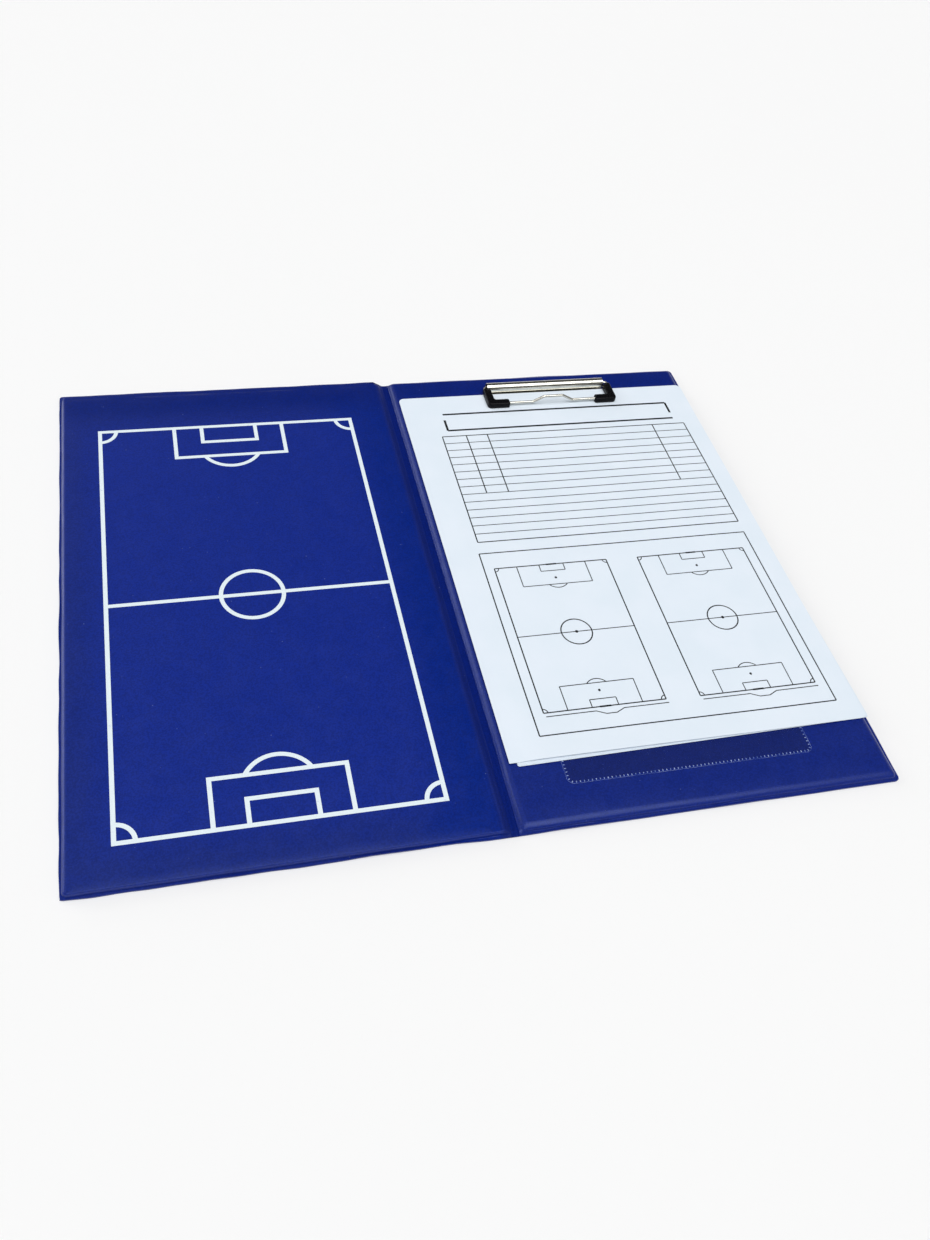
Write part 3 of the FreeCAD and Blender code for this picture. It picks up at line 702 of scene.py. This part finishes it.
def inner_steps(slope):
    """Profile of the lining, from the middle of its underside round the rim to the middle of its top."""
    under = BOARD_TOP - FILM
    flat = (WELD_LAND + FLAT_INSET, slope.top + FLAT_INSET, 0.0)
    near = slope.edge + FOOT
    steps = [
        (*flat, under),
        (WELD_LAND + SHOULDER + FILM, slope.top + FILM, DOME_ROUND, under),
        (WELD_LAND + FILM, near + 2 * FILM, DOME_ROUND, RIM_TOP - FILM / 2),
    ]
    steps += land_steps(slope, RIM_TOP - FILM, inward=False)
    steps += land_steps(slope, RIM_TOP)[:-1]
    steps.append((WELD_LAND - FOOT, near - FOOT / 4, DOME_ROUND, RIM_TOP))
    for turn in quarter_turns(SHOULDER_STEPS)[1:]:
        inset_share = 1.0 - math.cos(turn)
        steps.append((
            WELD_LAND + SHOULDER * inset_share,
            near + (slope.top - near) * turn / QUARTER,
            DOME_ROUND * (1.0 - CORNER_TIGHTEN * inset_share),
            RIM_TOP + (BOARD_TOP - RIM_TOP) * math.sin(turn),
        ))
    for inset, round_share in FLAT_LOOPS:
        steps.append((WELD_LAND + SHOULDER + inset, slope.top + inset, DOME_ROUND * round_share, BOARD_TOP))
    steps.append((*flat, BOARD_TOP))
    return steps


def outer_steps(slope):
    """Profile of the outer skin, with close loops by the crease."""
    flat = (WELD_LAND + FLAT_INSET, slope.top + FLAT_INSET, 0.0)
    near = slope.edge + FOOT
    shares = [step / SHOULDER_STEPS for step in range(1, SHOULDER_STEPS + 1)]
    wide = slope.top - near
    across = [(WELD_LAND + SHOULDER * share, near + wide * share, DOME_ROUND) for share in shares]
    steps = [(*flat, 0.0)]
    for number, place in reversed(list(enumerate(across))):
        steps.append((*place, OUTER_STEP * (1.0 - ease(0.0, SHOULDER_STEPS / 4, number))))
    steps += land_steps(slope, OUTER_STEP, inward=False)
    steps += land_steps(slope, FILM)
    steps += [(*place, FILM) for place in across]
    steps.append((*flat, FILM))
    return steps


def make_covers(vinyl):
    """Lining and outer skin of both covers, each running into the spine at its crease."""
    for side, sign in (("left", -1.0), ("right", 1.0)):
        slope = SLOPES[side]
        skins = []
        for name, steps, shape in (
            ("_vinyl_lining", inner_steps(slope), inner_shape(slope)),
            ("_vinyl_cover", outer_steps(slope), outer_shape(slope)),
        ):
            loops = cover_loops(steps, slope)
            skins.append(piece_from(side + name, *shell(*loops), vinyl, "vinyl", shape, sign < 0.0))
        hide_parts(side + "_lining", side + "_crease_weld")
        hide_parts(side + "_outer_skin")
        for skin in skins:
            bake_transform(skin)


# Spine: its film carries on the left slope, then drops to the foot of the right one

SPINE_FROM, SPINE_TO = -2.6 * MM, 2.2 * MM
SPINE_DROP_FROM = 1.5 * MM
SPINE_FALL = 0.28 * MM
SPINE_UNDER = 0.04 * MM
SPINE_END = 1.4 * MM
SPINE_SHOULDER = 1.5 * MM
SPINE_CELL = 3.0 * MM
SPINE_COLUMNS = 26
SPINE_SEED = 6.1
CARD_ROOM = Vector((0.35, 3.7, 0.35)) * MM


def spine_level(x, y):
    """Height of the spine's inner film, with its wrinkles."""
    left = SLOPES["left"]
    rise = slope_level(left.edge, left)
    along = clamped((EDGE_Y - SPINE_END - abs(y)) / SPINE_SHOULDER)
    dropped = ease(SPINE_DROP_FROM, SPINE_TO, x)
    fall = SPINE_FALL * min(1.0, (x - SPINE_FROM) / (SPINE_DROP_FROM - SPINE_FROM))
    height = (rise - fall - (rise - SPINE_FALL + SPINE_UNDER) * dropped) * rounded(along)
    creased = max(0.0, wrinkle(x, y, SPINE_SEED)) * along * (1.0 - dropped)
    return RIM_TOP - SPINE_UNDER + height + creased


def spine_strip(top, bottom):
    """A strip along the spine, from a top that varies to a level bottom."""
    columns, rows = SPINE_COLUMNS, round(2 * EDGE_Y / SPINE_CELL)
    points = []
    for row in range(rows + 1):
        y = -EDGE_Y + 2 * EDGE_Y * row / rows
        for column in range(columns + 1):
            x = SPINE_FROM + (SPINE_TO - SPINE_FROM) * column / columns
            drawn = end_dip(x, y, SLOPES["right" if x > 0.0 else "left"])
            points.append(Vector((x, y - drawn, top(x, y))))
    under = len(points)
    points += [raised(point.xy, bottom) for point in points]
    width = columns + 1
    rim = list(range(width))
    rim += [row * width + columns for row in range(1, rows + 1)]
    rim += [rows * width + column for column in reversed(range(columns))]
    rim += [row * width for row in reversed(range(1, rows))]
    faces = grid(0, columns, rows) + grid(under, columns, rows, upward=False)
    faces += [(under + here, under + there, there, here) for here, there in zip(rim, rim[1:] + rim[:1])]
    return points, faces


def make_spine(vinyl):
    """The spine's inner film and its outer strip."""
    for name, top, bottom, replaced in (
        ("spine_vinyl_ridge", spine_level, RIM_TOP - FILM, "spine_lining"),
        ("spine_vinyl_cover", lambda x, y: FILM, OUTER_STEP, "spine_outer_skin"),
    ):
        piece = piece_from(name, *spine_strip(top, bottom), vinyl, "vinyl")
        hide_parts(replaced)
        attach(piece, "spine")


def make_spine_card(card):
    """The strip of board in the spine, short enough to stay inside the drawn-in film."""
    low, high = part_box("spine_stiffener")
    low, high = low + raised(CARD_ROOM.xy, 0.0), high - CARD_ROOM
    plan = ((low.x, low.y), (high.x, low.y), (high.x, high.y), (low.x, high.y))
    loops = [[raised(place, level) for place in plan] for level in (low.z, high.z)]
    piece = piece_from("spine_card", *capped(loops), card, "board")
    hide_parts("spine_stiffener")
    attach(piece, "spine")


# Sleeves of the clip's bail

SLEEVE_WIDTH = 5.5 * MM
SLEEVE_TONGUE = 2.7 * MM
SLEEVE_STOP = 1.5 * MM
SLEEVE_ELBOW = 2.8 * MM
SLEEVE_CROOK = 1.3 * MM
SLEEVE_TOE = 1.3 * MM
SLEEVE_TIP = 0.5 * MM
SLEEVE_BROW = 1.0 * MM
SLEEVE_SOLE = 0.3 * MM
SLEEVE_STEPS = 6


def sleeve_loop(low, high, inset, level):
    """A rounded L, anticlockwise from the tip beside the tube's end, drawn in by an inset."""
    arm, foot = low.x + SLEEVE_WIDTH, low.y + SLEEVE_WIDTH
    tongue, stop = low.x + SLEEVE_TONGUE, high.y - SLEEVE_STOP
    corners = (
        (low.x, high.y, SLEEVE_TIP, -1),
        (low.x, low.y, SLEEVE_ELBOW, -1),
        (high.x, low.y, SLEEVE_TOE, -1),
        (high.x, foot, SLEEVE_TOE, -1),
        (arm, foot, SLEEVE_CROOK, 1),
        (arm, stop, SLEEVE_TIP, -1),
        (tongue, stop, SLEEVE_TIP, 1),
        (tongue, high.y, SLEEVE_TIP, -1),
    )
    places = [Vector((x, y)) for x, y, _, _ in corners]
    points = []
    for number, (corner, (_, _, radius, hollow)) in enumerate(zip(places, corners)):
        before = (places[number - 1] - corner).normalized()
        after = (places[(number + 1) % len(places)] - corner).normalized()
        radius = max(radius, inset)
        centre = corner + (before + after) * radius
        for turn in quarter_turns(SLEEVE_STEPS):
            out = after * math.cos(turn) + before * math.sin(turn)
            points.append(raised(centre - out * (radius + hollow * inset), level))
    return points


def make_sleeves(plastic):
    """The moulded corners of the bail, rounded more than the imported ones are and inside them."""
    edge = [(1.0 - math.cos(turn), 1.0 - math.sin(turn)) for turn in quarter_turns(SLEEVE_STEPS)]
    for side, mirrored in (("left", False), ("right", True)):
        low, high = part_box("bail_sleeve_" + side)
        if mirrored:
            low, high = Vector((-high.x, low.y, low.z)), Vector((-low.x, high.y, high.z))
        steps = [(SLEEVE_SOLE * inset, low.z + SLEEVE_SOLE * rise) for inset, rise in reversed(edge)]
        steps += [(SLEEVE_BROW * inset, high.z - SLEEVE_BROW * rise) for inset, rise in edge]
        solid = capped([sleeve_loop(low, high, inset, level) for inset, level in steps])
        piece = piece_from("moulded_sleeve_" + side, *solid, plastic, "sleeve", mirrored=mirrored)
        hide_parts("bail_sleeve_" + side)
        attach(piece, "clip_bail")


# Clear pocket. Its levels are over the lining, and a rung's rings are a share of its plan and a level.

SEAM_WIDTH = 2.2 * MM
SEAM_PITCH = 2.2 * MM
SEAM_EDGE_INSET = 0.2 * MM
SEAM_EDGE_WIDTH = 0.08 * MM
SEAM_EDGE_LEVELS = (-0.05 * MM, 0.12 * MM)
RUNG_HALF_LENGTH, RUNG_HALF_WIDTH = 0.28 * MM, 0.58 * MM
RUNG_SIDES = 10
RUNG_RINGS = ((1.0, -0.1 * MM), (1.0, 0.16 * MM), (0.6, 0.3 * MM))
POCKET_ROUND = 4.0 * MM
WINDOW_BASE, WINDOW_THICKNESS = 0.03 * MM, 0.07 * MM
POCKET_BULGE = 0.35 * MM
BULGE_EVEN_SHARE, BULGE_VARIED_SHARE = 0.6, 0.8
BULGE_FROM_SIDES, BULGE_FROM_FOOT = 6.0, 5.0
BULGE_WAVE = (26.0 * MM, 2.2)


def pocket_line(inset):
    """A line along the seam: down the left side, round the bottom and up the right side."""
    low_x, high_x = POCKET_LOW.x + inset, POCKET_HIGH.x - inset
    radius = POCKET_ROUND - inset
    centre_y = POCKET_LOW.y + inset + radius
    line = [Vector((low_x, POCKET_HIGH.y))]
    for centre_x, start in ((low_x + radius, math.pi), (high_x - radius, math.pi + QUARTER)):
        line += [around((centre_x, centre_y), radius, turn) for turn in quarter_turns(CORNER_STEPS, start)]
    line.append(Vector((high_x, POCKET_HIGH.y)))
    return line


def spaced(line, pitch):
    """Places at even steps along a line, each with its direction."""
    left_over = pitch / 2
    for start, end in zip(line, line[1:]):
        along = end - start
        while left_over <= along.length:
            yield start + along.normalized() * left_over, along.normalized()
            left_over += pitch
        left_over -= along.length


def rung(place, along):
    """One raised rung of the knurled seam: a low rounded bar across it."""
    across = Vector((-along.y, along.x))
    turns = [2.0 * math.pi * side / RUNG_SIDES for side in range(RUNG_SIDES)]
    loops = []
    for share, level in RUNG_RINGS:
        length, width = RUNG_HALF_LENGTH * share, RUNG_HALF_WIDTH * share
        plan = [place + along * length * math.cos(turn) + across * width * math.sin(turn) for turn in turns]
        loops.append([raised(corner, BOARD_TOP + level) for corner in plan])
    return capped(loops)


def make_pocket(film, seam):
    """A thin clear film held by a knurled weld on three sides."""
    edge_low, edge_high = (BOARD_TOP + level for level in SEAM_EDGE_LEVELS)
    parts = [ribbon(pocket_line(SEAM_EDGE_INSET), SEAM_EDGE_WIDTH, edge_low, edge_high)]
    parts += [rung(place, along) for place, along in spaced(pocket_line(SEAM_WIDTH / 2), SEAM_PITCH)]
    weld = piece_from("pocket_weld", *gather(parts), seam, "clear_film")
    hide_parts("pocket_seam")
    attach(weld, "right_cover")
    half = SEAM_WIDTH / 2
    low = Vector((POCKET_LOW.x + half, POCKET_LOW.y + half))
    high = Vector((POCKET_HIGH.x - half, POCKET_HIGH.y))
    rounds = (POCKET_ROUND / 2, POCKET_ROUND / 2, 0.0, 0.0)

    def bulged(point):
        across = (point.x - low.x) / (high.x - low.x)
        along = (point.y - low.y) / (high.y - low.y)
        room = min(1.0, BULGE_FROM_SIDES * across * (1.0 - across)) * min(1.0, BULGE_FROM_FOOT * along)
        varied = BULGE_EVEN_SHARE + BULGE_VARIED_SHARE * wave(point.x, point.y, BULGE_WAVE)
        return point + Vector((0.0, 0.0, POCKET_BULGE * max(0.0, varied) * room))

    part = sheet_part(low, high, rounds, BOARD_TOP + WINDOW_BASE, WINDOW_THICKNESS)
    window = piece_from("pocket_window", *part, film, "clear_film", bulged)
    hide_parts("pocket_film")
    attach(window, "right_cover")


# Sheets

SHEET = 0.15 * MM
SHEET_SHARP = 0.3 * MM
SHEET_ROUND = 3.6 * MM
SHEET_CELL = 5.0 * MM
PRINT_RISE = 0.02 * MM
STACK_SHEETS = 3
STACK_ROUND = 1.2 * MM
STACK_SETBACK = 2.6 * MM
STACK_SLIP = Vector((0.25, 0.3)) * MM
STACK_PAPER_SHARE = 0.8
STACK_TURN = 0.75
STACK_PIVOT = Vector((0.180, -0.140))
STACK_RAISE = 1.0 * MM

# The top sheet's rise: where it comes free of the clip, its plain rise, its roll in half waves across and
# along, its unevenness, the curl at its foot and the room that the closed cover leaves
FREE_LENGTH = 60.0 * MM
PLAIN_RISE = 0.10 * MM
ROLL_RISE = 0.30 * MM
ROLL_ACROSS, ROLL_ALONG = 2.2, 0.7
UNEVEN_RISE = 0.20 * MM
UNEVEN_BIAS = 0.5
UNEVEN_WAVE = (110.0 * MM, 4.4)
SHEET_CURL = 0.8 * MM
CURL_LENGTH_SHARE = 0.30
CURL_RIGHT_SHARE = 0.15
SPINE_ROOM = 0.25 * MM
CLOSED_GAP = 0.1


def sheet_rise(x, y):
    """How far the top sheet stands off the stack: held at the clip, waved below it, curled up at its foot,
    and low beside the spine, so that the closed cover clears it."""
    free = ease(FOLD_Y, FOLD_Y - FREE_LENGTH, y)
    along = (y - SHEET_LOW.y) / (SHEET_HIGH.y - SHEET_LOW.y)
    across = (x - SHEET_LOW.x) / (SHEET_HIGH.x - SHEET_LOW.x)
    roll = as_share(math.sin(math.pi * (ROLL_ACROSS * across + ROLL_ALONG * along)))
    uneven = wave(x, y, UNEVEN_WAVE) + UNEVEN_BIAS
    gentle = PLAIN_RISE + ROLL_RISE * roll + UNEVEN_RISE * uneven
    foot = ease(CURL_LENGTH_SHARE, 0.0, along) ** 2
    curl = SHEET_CURL * foot * (CURL_RIGHT_SHARE + (1.0 - CURL_RIGHT_SHARE) * ease(1.0, 0.0, across))
    room = SPINE_ROOM + CLOSED_GAP * max(0.0, x - SLOPES["left"].top)
    return min(room, free * gentle + curl)


def sheet_shape(point):
    """A point of the top sheet or its print, lifted with the sheet."""
    return point + Vector((0.0, 0.0, sheet_rise(point.x, point.y)))


def sheet_part(low, high, rounds, base, thickness):
    """One sheet, with a grid fine enough to bend."""
    low, high = Vector(low), Vector(high)
    counts = (round((high.x - low.x) / SHEET_CELL), round((high.y - low.y) / SHEET_CELL))
    inset = Vector((SHEET_CELL, SHEET_CELL))
    middle, edge = (low + inset, high - inset, (0.0,) * 4), (low, high, rounds)
    top = base + thickness
    steps = ((middle, base), (edge, base), (edge, top), (middle, top))
    return shell([rounded_loop(*plan, level, counts) for plan, level in steps], counts)


def bend_at_fold(piece):
    """Bakes the piece's place into its mesh."""
    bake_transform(piece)


def make_sheets(paper):
    """The top sheet and the sheets below it."""
    rounds = (SHEET_SHARP, SHEET_ROUND, SHEET_ROUND, SHEET_ROUND)
    part = sheet_part(SHEET_LOW.xy, SHEET_HIGH.xy, rounds, SHEET_LOW.z, SHEET)
    page = piece_from("top_match_sheet", *part, paper, "paper", sheet_shape)
    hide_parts("top_sheet", "top_sheet_head")
    bend_at_fold(page)
    parts = []
    layer = (STACK_HIGH.z - STACK_LOW.z) / STACK_SHEETS
    for number in range(STACK_SHEETS):
        slip = Vector((STACK_SLIP.x * (number % 2), STACK_SLIP.y * number))
        low, high = STACK_LOW.xy + slip + Vector((STACK_SETBACK, 0.0)), STACK_HIGH.xy - slip
        base = STACK_LOW.z + layer * number
        parts.append(sheet_part(low, high, (STACK_ROUND,) * 4, base, STACK_PAPER_SHARE * layer))
    turn = Matrix.Rotation(math.radians(STACK_TURN), 2)

    def askew(point):
        flat = STACK_PIVOT + turn @ (point.xy - STACK_PIVOT)
        return Vector((flat.x, flat.y + STACK_RAISE, point.z))

    pile = piece_from("spare_match_sheets", *gather(parts), paper, "paper", askew)
    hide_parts("sheet_stack")
    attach(pile, "paper_pad")


# Print on the top sheet. Its columns are shares of the table's width, other shares are of a small pitch.

RULE = 0.57 * MM
FRAME_RULE = 0.75 * MM
TITLE_RULE = 1.55 * MM
TABLE_LOW = Vector((27.9, 16.7)) * MM
TABLE_HIGH = Vector((203.6, 115.4)) * MM
TABLE_ROWS = 14
COLUMN_ROWS = 8
COLUMN_SHARES = (0.0945, 0.178, 0.863)
TITLE_LOW = Vector((33.2, 121.4)) * MM
TITLE_HIGH = Vector((197.6, 138.1)) * MM
TITLE_STUB = 10.8 * MM
FRAME_LOW = Vector((26.3, -126.4)) * MM
FRAME_HIGH = Vector((203.4, 7.1)) * MM
SMALL_PITCH = Vector((71.7, 106.4)) * MM
SMALL_CENTRES = (Vector((68.5, -59.0)) * MM, Vector((160.8, -59.5)) * MM)
SMALL_CIRCLE = 9.25 * MM
SMALL_CORNER = 2.6 * MM
SMALL_SPOT = 0.75 * MM
CENTRE_SPOT_RULE, GOAL_SPOT_RULE = 1.6 * SMALL_SPOT, 1.2 * SMALL_SPOT
AREA_DEPTH_SHARE = 0.152
BOX_SHARES = ((0.61, AREA_DEPTH_SHARE), (0.215, 0.049))
SPOT_SHARE = 0.103
ARC_CHORD_SHARE, ARC_RISE_SHARE = 0.16, 0.026
GOAL_HALF_SHARE = 0.046
GOAL_RULE = 1.15 * MM
BENCH_START_SHARE = 0.012
BENCH_GAP = 2.5 * MM
BENCH_BUMP = 2.4 * MM
BENCH_SHARES = ((0.0, 0.0), (0.40, 0.0), (0.475, 1.0), (0.56, 1.0), (0.63, 0.0), (1.0, 0.0))
ARC_CELL = 0.6 * MM
ARC_LEAST = 6


def straight(start, end):
    """Places along a straight line, close enough to follow the sheet."""
    start, end = Vector(start), Vector(end)
    count = max(1, round((end - start).length / SHEET_CELL))
    return [start.lerp(end, step / count) for step in range(count + 1)]


def chain(corners):
    """Straight lines from each corner to the next."""
    return [straight(start, end) for start, end in zip(corners, corners[1:])]


def box_lines(low, high):
    return chain([low, Vector((high.x, low.y)), high, Vector((low.x, high.y)), low])


def arc_line(centre, radius, start=0.0, sweep=2.0 * math.pi):
    """Places along an arc, or round a circle."""
    count = max(ARC_LEAST, round(abs(sweep) * radius / ARC_CELL))
    return [around(centre, radius, start + sweep * step / count) for step in range(count + 1)]


def goal_lines(goal, end):
    """Lines at one end of a small pitch, each with its width."""
    lines = []
    for width_share, depth_share in BOX_SHARES:
        side = Vector((SMALL_PITCH.x * width_share / 2, 0.0))
        inward = Vector((0.0, -end * SMALL_PITCH.y * depth_share))
        corners = (goal - side, goal - side + inward, goal + side + inward, goal + side)
        lines += [(line, RULE) for line in chain(corners)]
    spot = goal - Vector((0.0, end * SPOT_SHARE * SMALL_PITCH.y))
    lines.append((arc_line(spot, SMALL_SPOT / 2), GOAL_SPOT_RULE))
    rise = ARC_RISE_SHARE * SMALL_PITCH.y
    chord = ARC_CHORD_SHARE * SMALL_PITCH.x
    radius = (chord * chord / 4 + rise * rise) / (2 * rise)
    reach = math.asin(chord / 2 / radius)
    front = goal - Vector((0.0, end * (AREA_DEPTH_SHARE * SMALL_PITCH.y + rise - radius)))
    lines.append((arc_line(front, radius, -end * QUARTER - reach, 2 * reach), RULE))
    bar = Vector((GOAL_HALF_SHARE * SMALL_PITCH.x, 0.0))
    lines.append((straight(goal - bar, goal + bar), GOAL_RULE))
    for side in (1.0, -1.0):
        corner = goal + Vector((side * SMALL_PITCH.x / 2, 0.0))
        start = math.atan2(-end, 0.0) if side * end < 0 else math.atan2(0.0, -side)
        lines.append((arc_line(corner, SMALL_CORNER, start, QUARTER), RULE))
    return lines


def small_pitch_lines(centre):
    """Lines of one small pitch, each with its width, and the bumped rule below it."""
    half = SMALL_PITCH / 2
    across = Vector((half.x, 0.0))
    lines = [(line, FRAME_RULE) for line in box_lines(centre - half, centre + half)]
    lines.append((straight(centre - across, centre + across), RULE))
    lines.append((arc_line(centre, SMALL_CIRCLE), FRAME_RULE))
    lines.append((arc_line(centre, SMALL_SPOT / 2), CENTRE_SPOT_RULE))
    for end in (1.0, -1.0):
        lines += goal_lines(centre + Vector((0.0, end * half.y)), end)
    low = centre - half + Vector((BENCH_START_SHARE * SMALL_PITCH.x, -BENCH_GAP))
    bench = [low + Vector((share * SMALL_PITCH.x, -BENCH_BUMP * drop)) for share, drop in BENCH_SHARES]
    return lines + [(line, RULE) for line in chain(bench)]


def make_print(toner):
    """Title rules, a ruled table and two small pitches on the top sheet."""
    frames = box_lines(FRAME_LOW, FRAME_HIGH) + box_lines(TABLE_LOW, TABLE_HIGH)
    lines = [(line, FRAME_RULE) for line in frames]
    row = (TABLE_HIGH.y - TABLE_LOW.y) / TABLE_ROWS
    for number in range(1, TABLE_ROWS):
        y = TABLE_HIGH.y - row * number
        lines.append((straight((TABLE_LOW.x, y), (TABLE_HIGH.x, y)), RULE))
    for share in COLUMN_SHARES:
        x = TABLE_LOW.x + share * (TABLE_HIGH.x - TABLE_LOW.x)
        lines.append((straight((x, TABLE_HIGH.y), (x, TABLE_HIGH.y - row * COLUMN_ROWS)), FRAME_RULE))
    stub = Vector((0.0, TITLE_STUB))
    titles = (
        (TITLE_LOW, Vector((TITLE_HIGH.x, TITLE_LOW.y))),
        (TITLE_LOW, TITLE_LOW + stub),
        (Vector((TITLE_LOW.x, TITLE_HIGH.y)), TITLE_HIGH),
        (TITLE_HIGH, TITLE_HIGH - stub),
    )
    lines += [(straight(start, end), TITLE_RULE) for start, end in titles]
    for centre in SMALL_CENTRES:
        lines += small_pitch_lines(centre)
    top = SHEET_LOW.z + SHEET
    parts = [ribbon(line, width, top - PRINT_RISE, top + PRINT_RISE) for line, width in lines]
    printed = piece_from("sheet_print", *gather(parts), toner, "ink", sheet_shape)
    bend_at_fold(printed)


# Stage. The sky has a plain level and brighter and darker parts: direction, reach as cosines, added strength.

CAMERA_AT = Vector((-0.1484, -0.4119, 0.4705))
CAMERA_AIM = Vector((-0.0138, -0.0304, 0.0))
CAMERA_ROLL = 9.50
LENS = 30.99
LENS_SHIFT = (0.0308, -0.0055)
NEAREST = 0.01
FLOOR_HALF = 6.0
FLOOR_DROP = 0.1 * MM
FLOOR_CLOUD = 0.4
SKY = 0.24
SKY_PARTS = (
    (Vector((-0.75, 0.62, 0.20)), 0.94, 0.99, 3.4),
    (Vector((-0.60, 0.60, 0.50)), 0.62, 0.95, 0.20),
    (Vector((0.10, -0.75, 0.62)), 0.80, 0.95, -0.16),
    (Vector((0.30, 0.64, 0.70)), 0.72, 0.93, -0.16),
)
HORIZON_LOW, HORIZON_HIGH = 0.05, 0.20
HORIZON = 0.45
LAMP_FROM = Vector((0.0, -0.30, 0.95))
LAMP_ANGLE = 60.0
LAMP_ENERGY = 2.36


def make_camera():
    """The camera that was fitted to the photo."""
    data = bpy.data.cameras.new("camera")
    data.lens = LENS
    data.shift_x, data.shift_y = LENS_SHIFT
    data.clip_start = NEAREST
    camera = placed("camera", data)
    turn = (CAMERA_AIM - CAMERA_AT).to_track_quat("-Z", "Y").to_matrix()
    roll = Matrix.Rotation(math.radians(CAMERA_ROLL), 3, "Z")
    camera.matrix_world = Matrix.Translation(CAMERA_AT) @ (turn @ roll).to_4x4()
    bpy.context.scene.camera = camera


def make_floor():
    """A plain pale table."""
    shader = Shader("pale_floor", FLOOR, 0.9, at_rest=False, Specular_IOR_Level=0.1)
    shader.colour(shader.mixed(shader.noise(FLOOR_CLOUD), *FLOOR_TONES))
    signs = ((-1, -1), (1, -1), (1, 1), (-1, 1))
    corners = [(FLOOR_HALF * x, FLOOR_HALF * y, -FLOOR_DROP) for x, y in signs]
    mesh = bpy.data.meshes.new("floor")
    mesh.from_pydata(corners, [], [(0, 1, 2, 3)])
    mesh.materials.append(shader.material)
    floor = placed("floor", mesh)


def make_light():
    """A dim sky with a pale horizon and a bright panel far back on the left, and a wide soft lamp above."""
    world = bpy.data.worlds.new("studio")
    world.use_nodes = True
    bpy.context.scene.world = world
    graph = Graph(world.node_tree)
    direction = graph.node("TexCoord", {}).outputs["Generated"]
    height = graph.maths("ABSOLUTE", graph.axis(direction, "Z"))
    strength = graph.span(height, HORIZON_LOW, HORIZON_HIGH, SKY + HORIZON, SKY)
    for middle, low, high, more in SKY_PARTS:
        toward = graph.node("VectorMath", {0: direction, 1: middle.normalized()}, "DOT_PRODUCT")
        strength = graph.maths("ADD", strength, graph.span(toward.outputs["Value"], low, high, 0.0, more))
    background = world.node_tree.nodes["Background"]
    graph.feed(background, "Color", (1.0, 1.0, 1.0, 1.0))
    graph.feed(background, "Strength", strength)
    lamp = bpy.data.lights.new("soft_lamp", "SUN")
    lamp.energy = LAMP_ENERGY
    lamp.angle = math.radians(LAMP_ANGLE)
    sun = placed("soft_lamp", lamp)
    sun.rotation_euler = (-LAMP_FROM).to_track_quat("-Z", "Y").to_euler()


# The part

def paint_nodes(card):
    """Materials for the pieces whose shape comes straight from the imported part."""
    fixings = [kind + side for kind in ("clip_rivet_", "rivet_washer_") for side in ("left", "right")]
    finishes = {
        steel_material(): ("clip_bracket", "bail_wire", *fixings),
        card: ("left_board", "right_board"),
        ink_material(): ("pitch_print",),
    }
    for material, names in finishes.items():
        for name in names:
            slots = frame["nodes"][name].data.materials
            slots.clear()
            slots.append(material)


make_covers(vinyl_material("blue_vinyl", COVER_GLOSS))
make_spine(vinyl_material("creased_vinyl", SPINE_GLOSS))
board_card = card_material()
make_spine_card(board_card)
make_sleeves(sleeve_material())
make_pocket(film_material(), seam_material())
make_sheets(paper_material())
make_print(print_material())
paint_nodes(board_card)
make_floor()
make_light()
make_camera()
bpy.context.scene.view_settings.view_transform = "Standard"
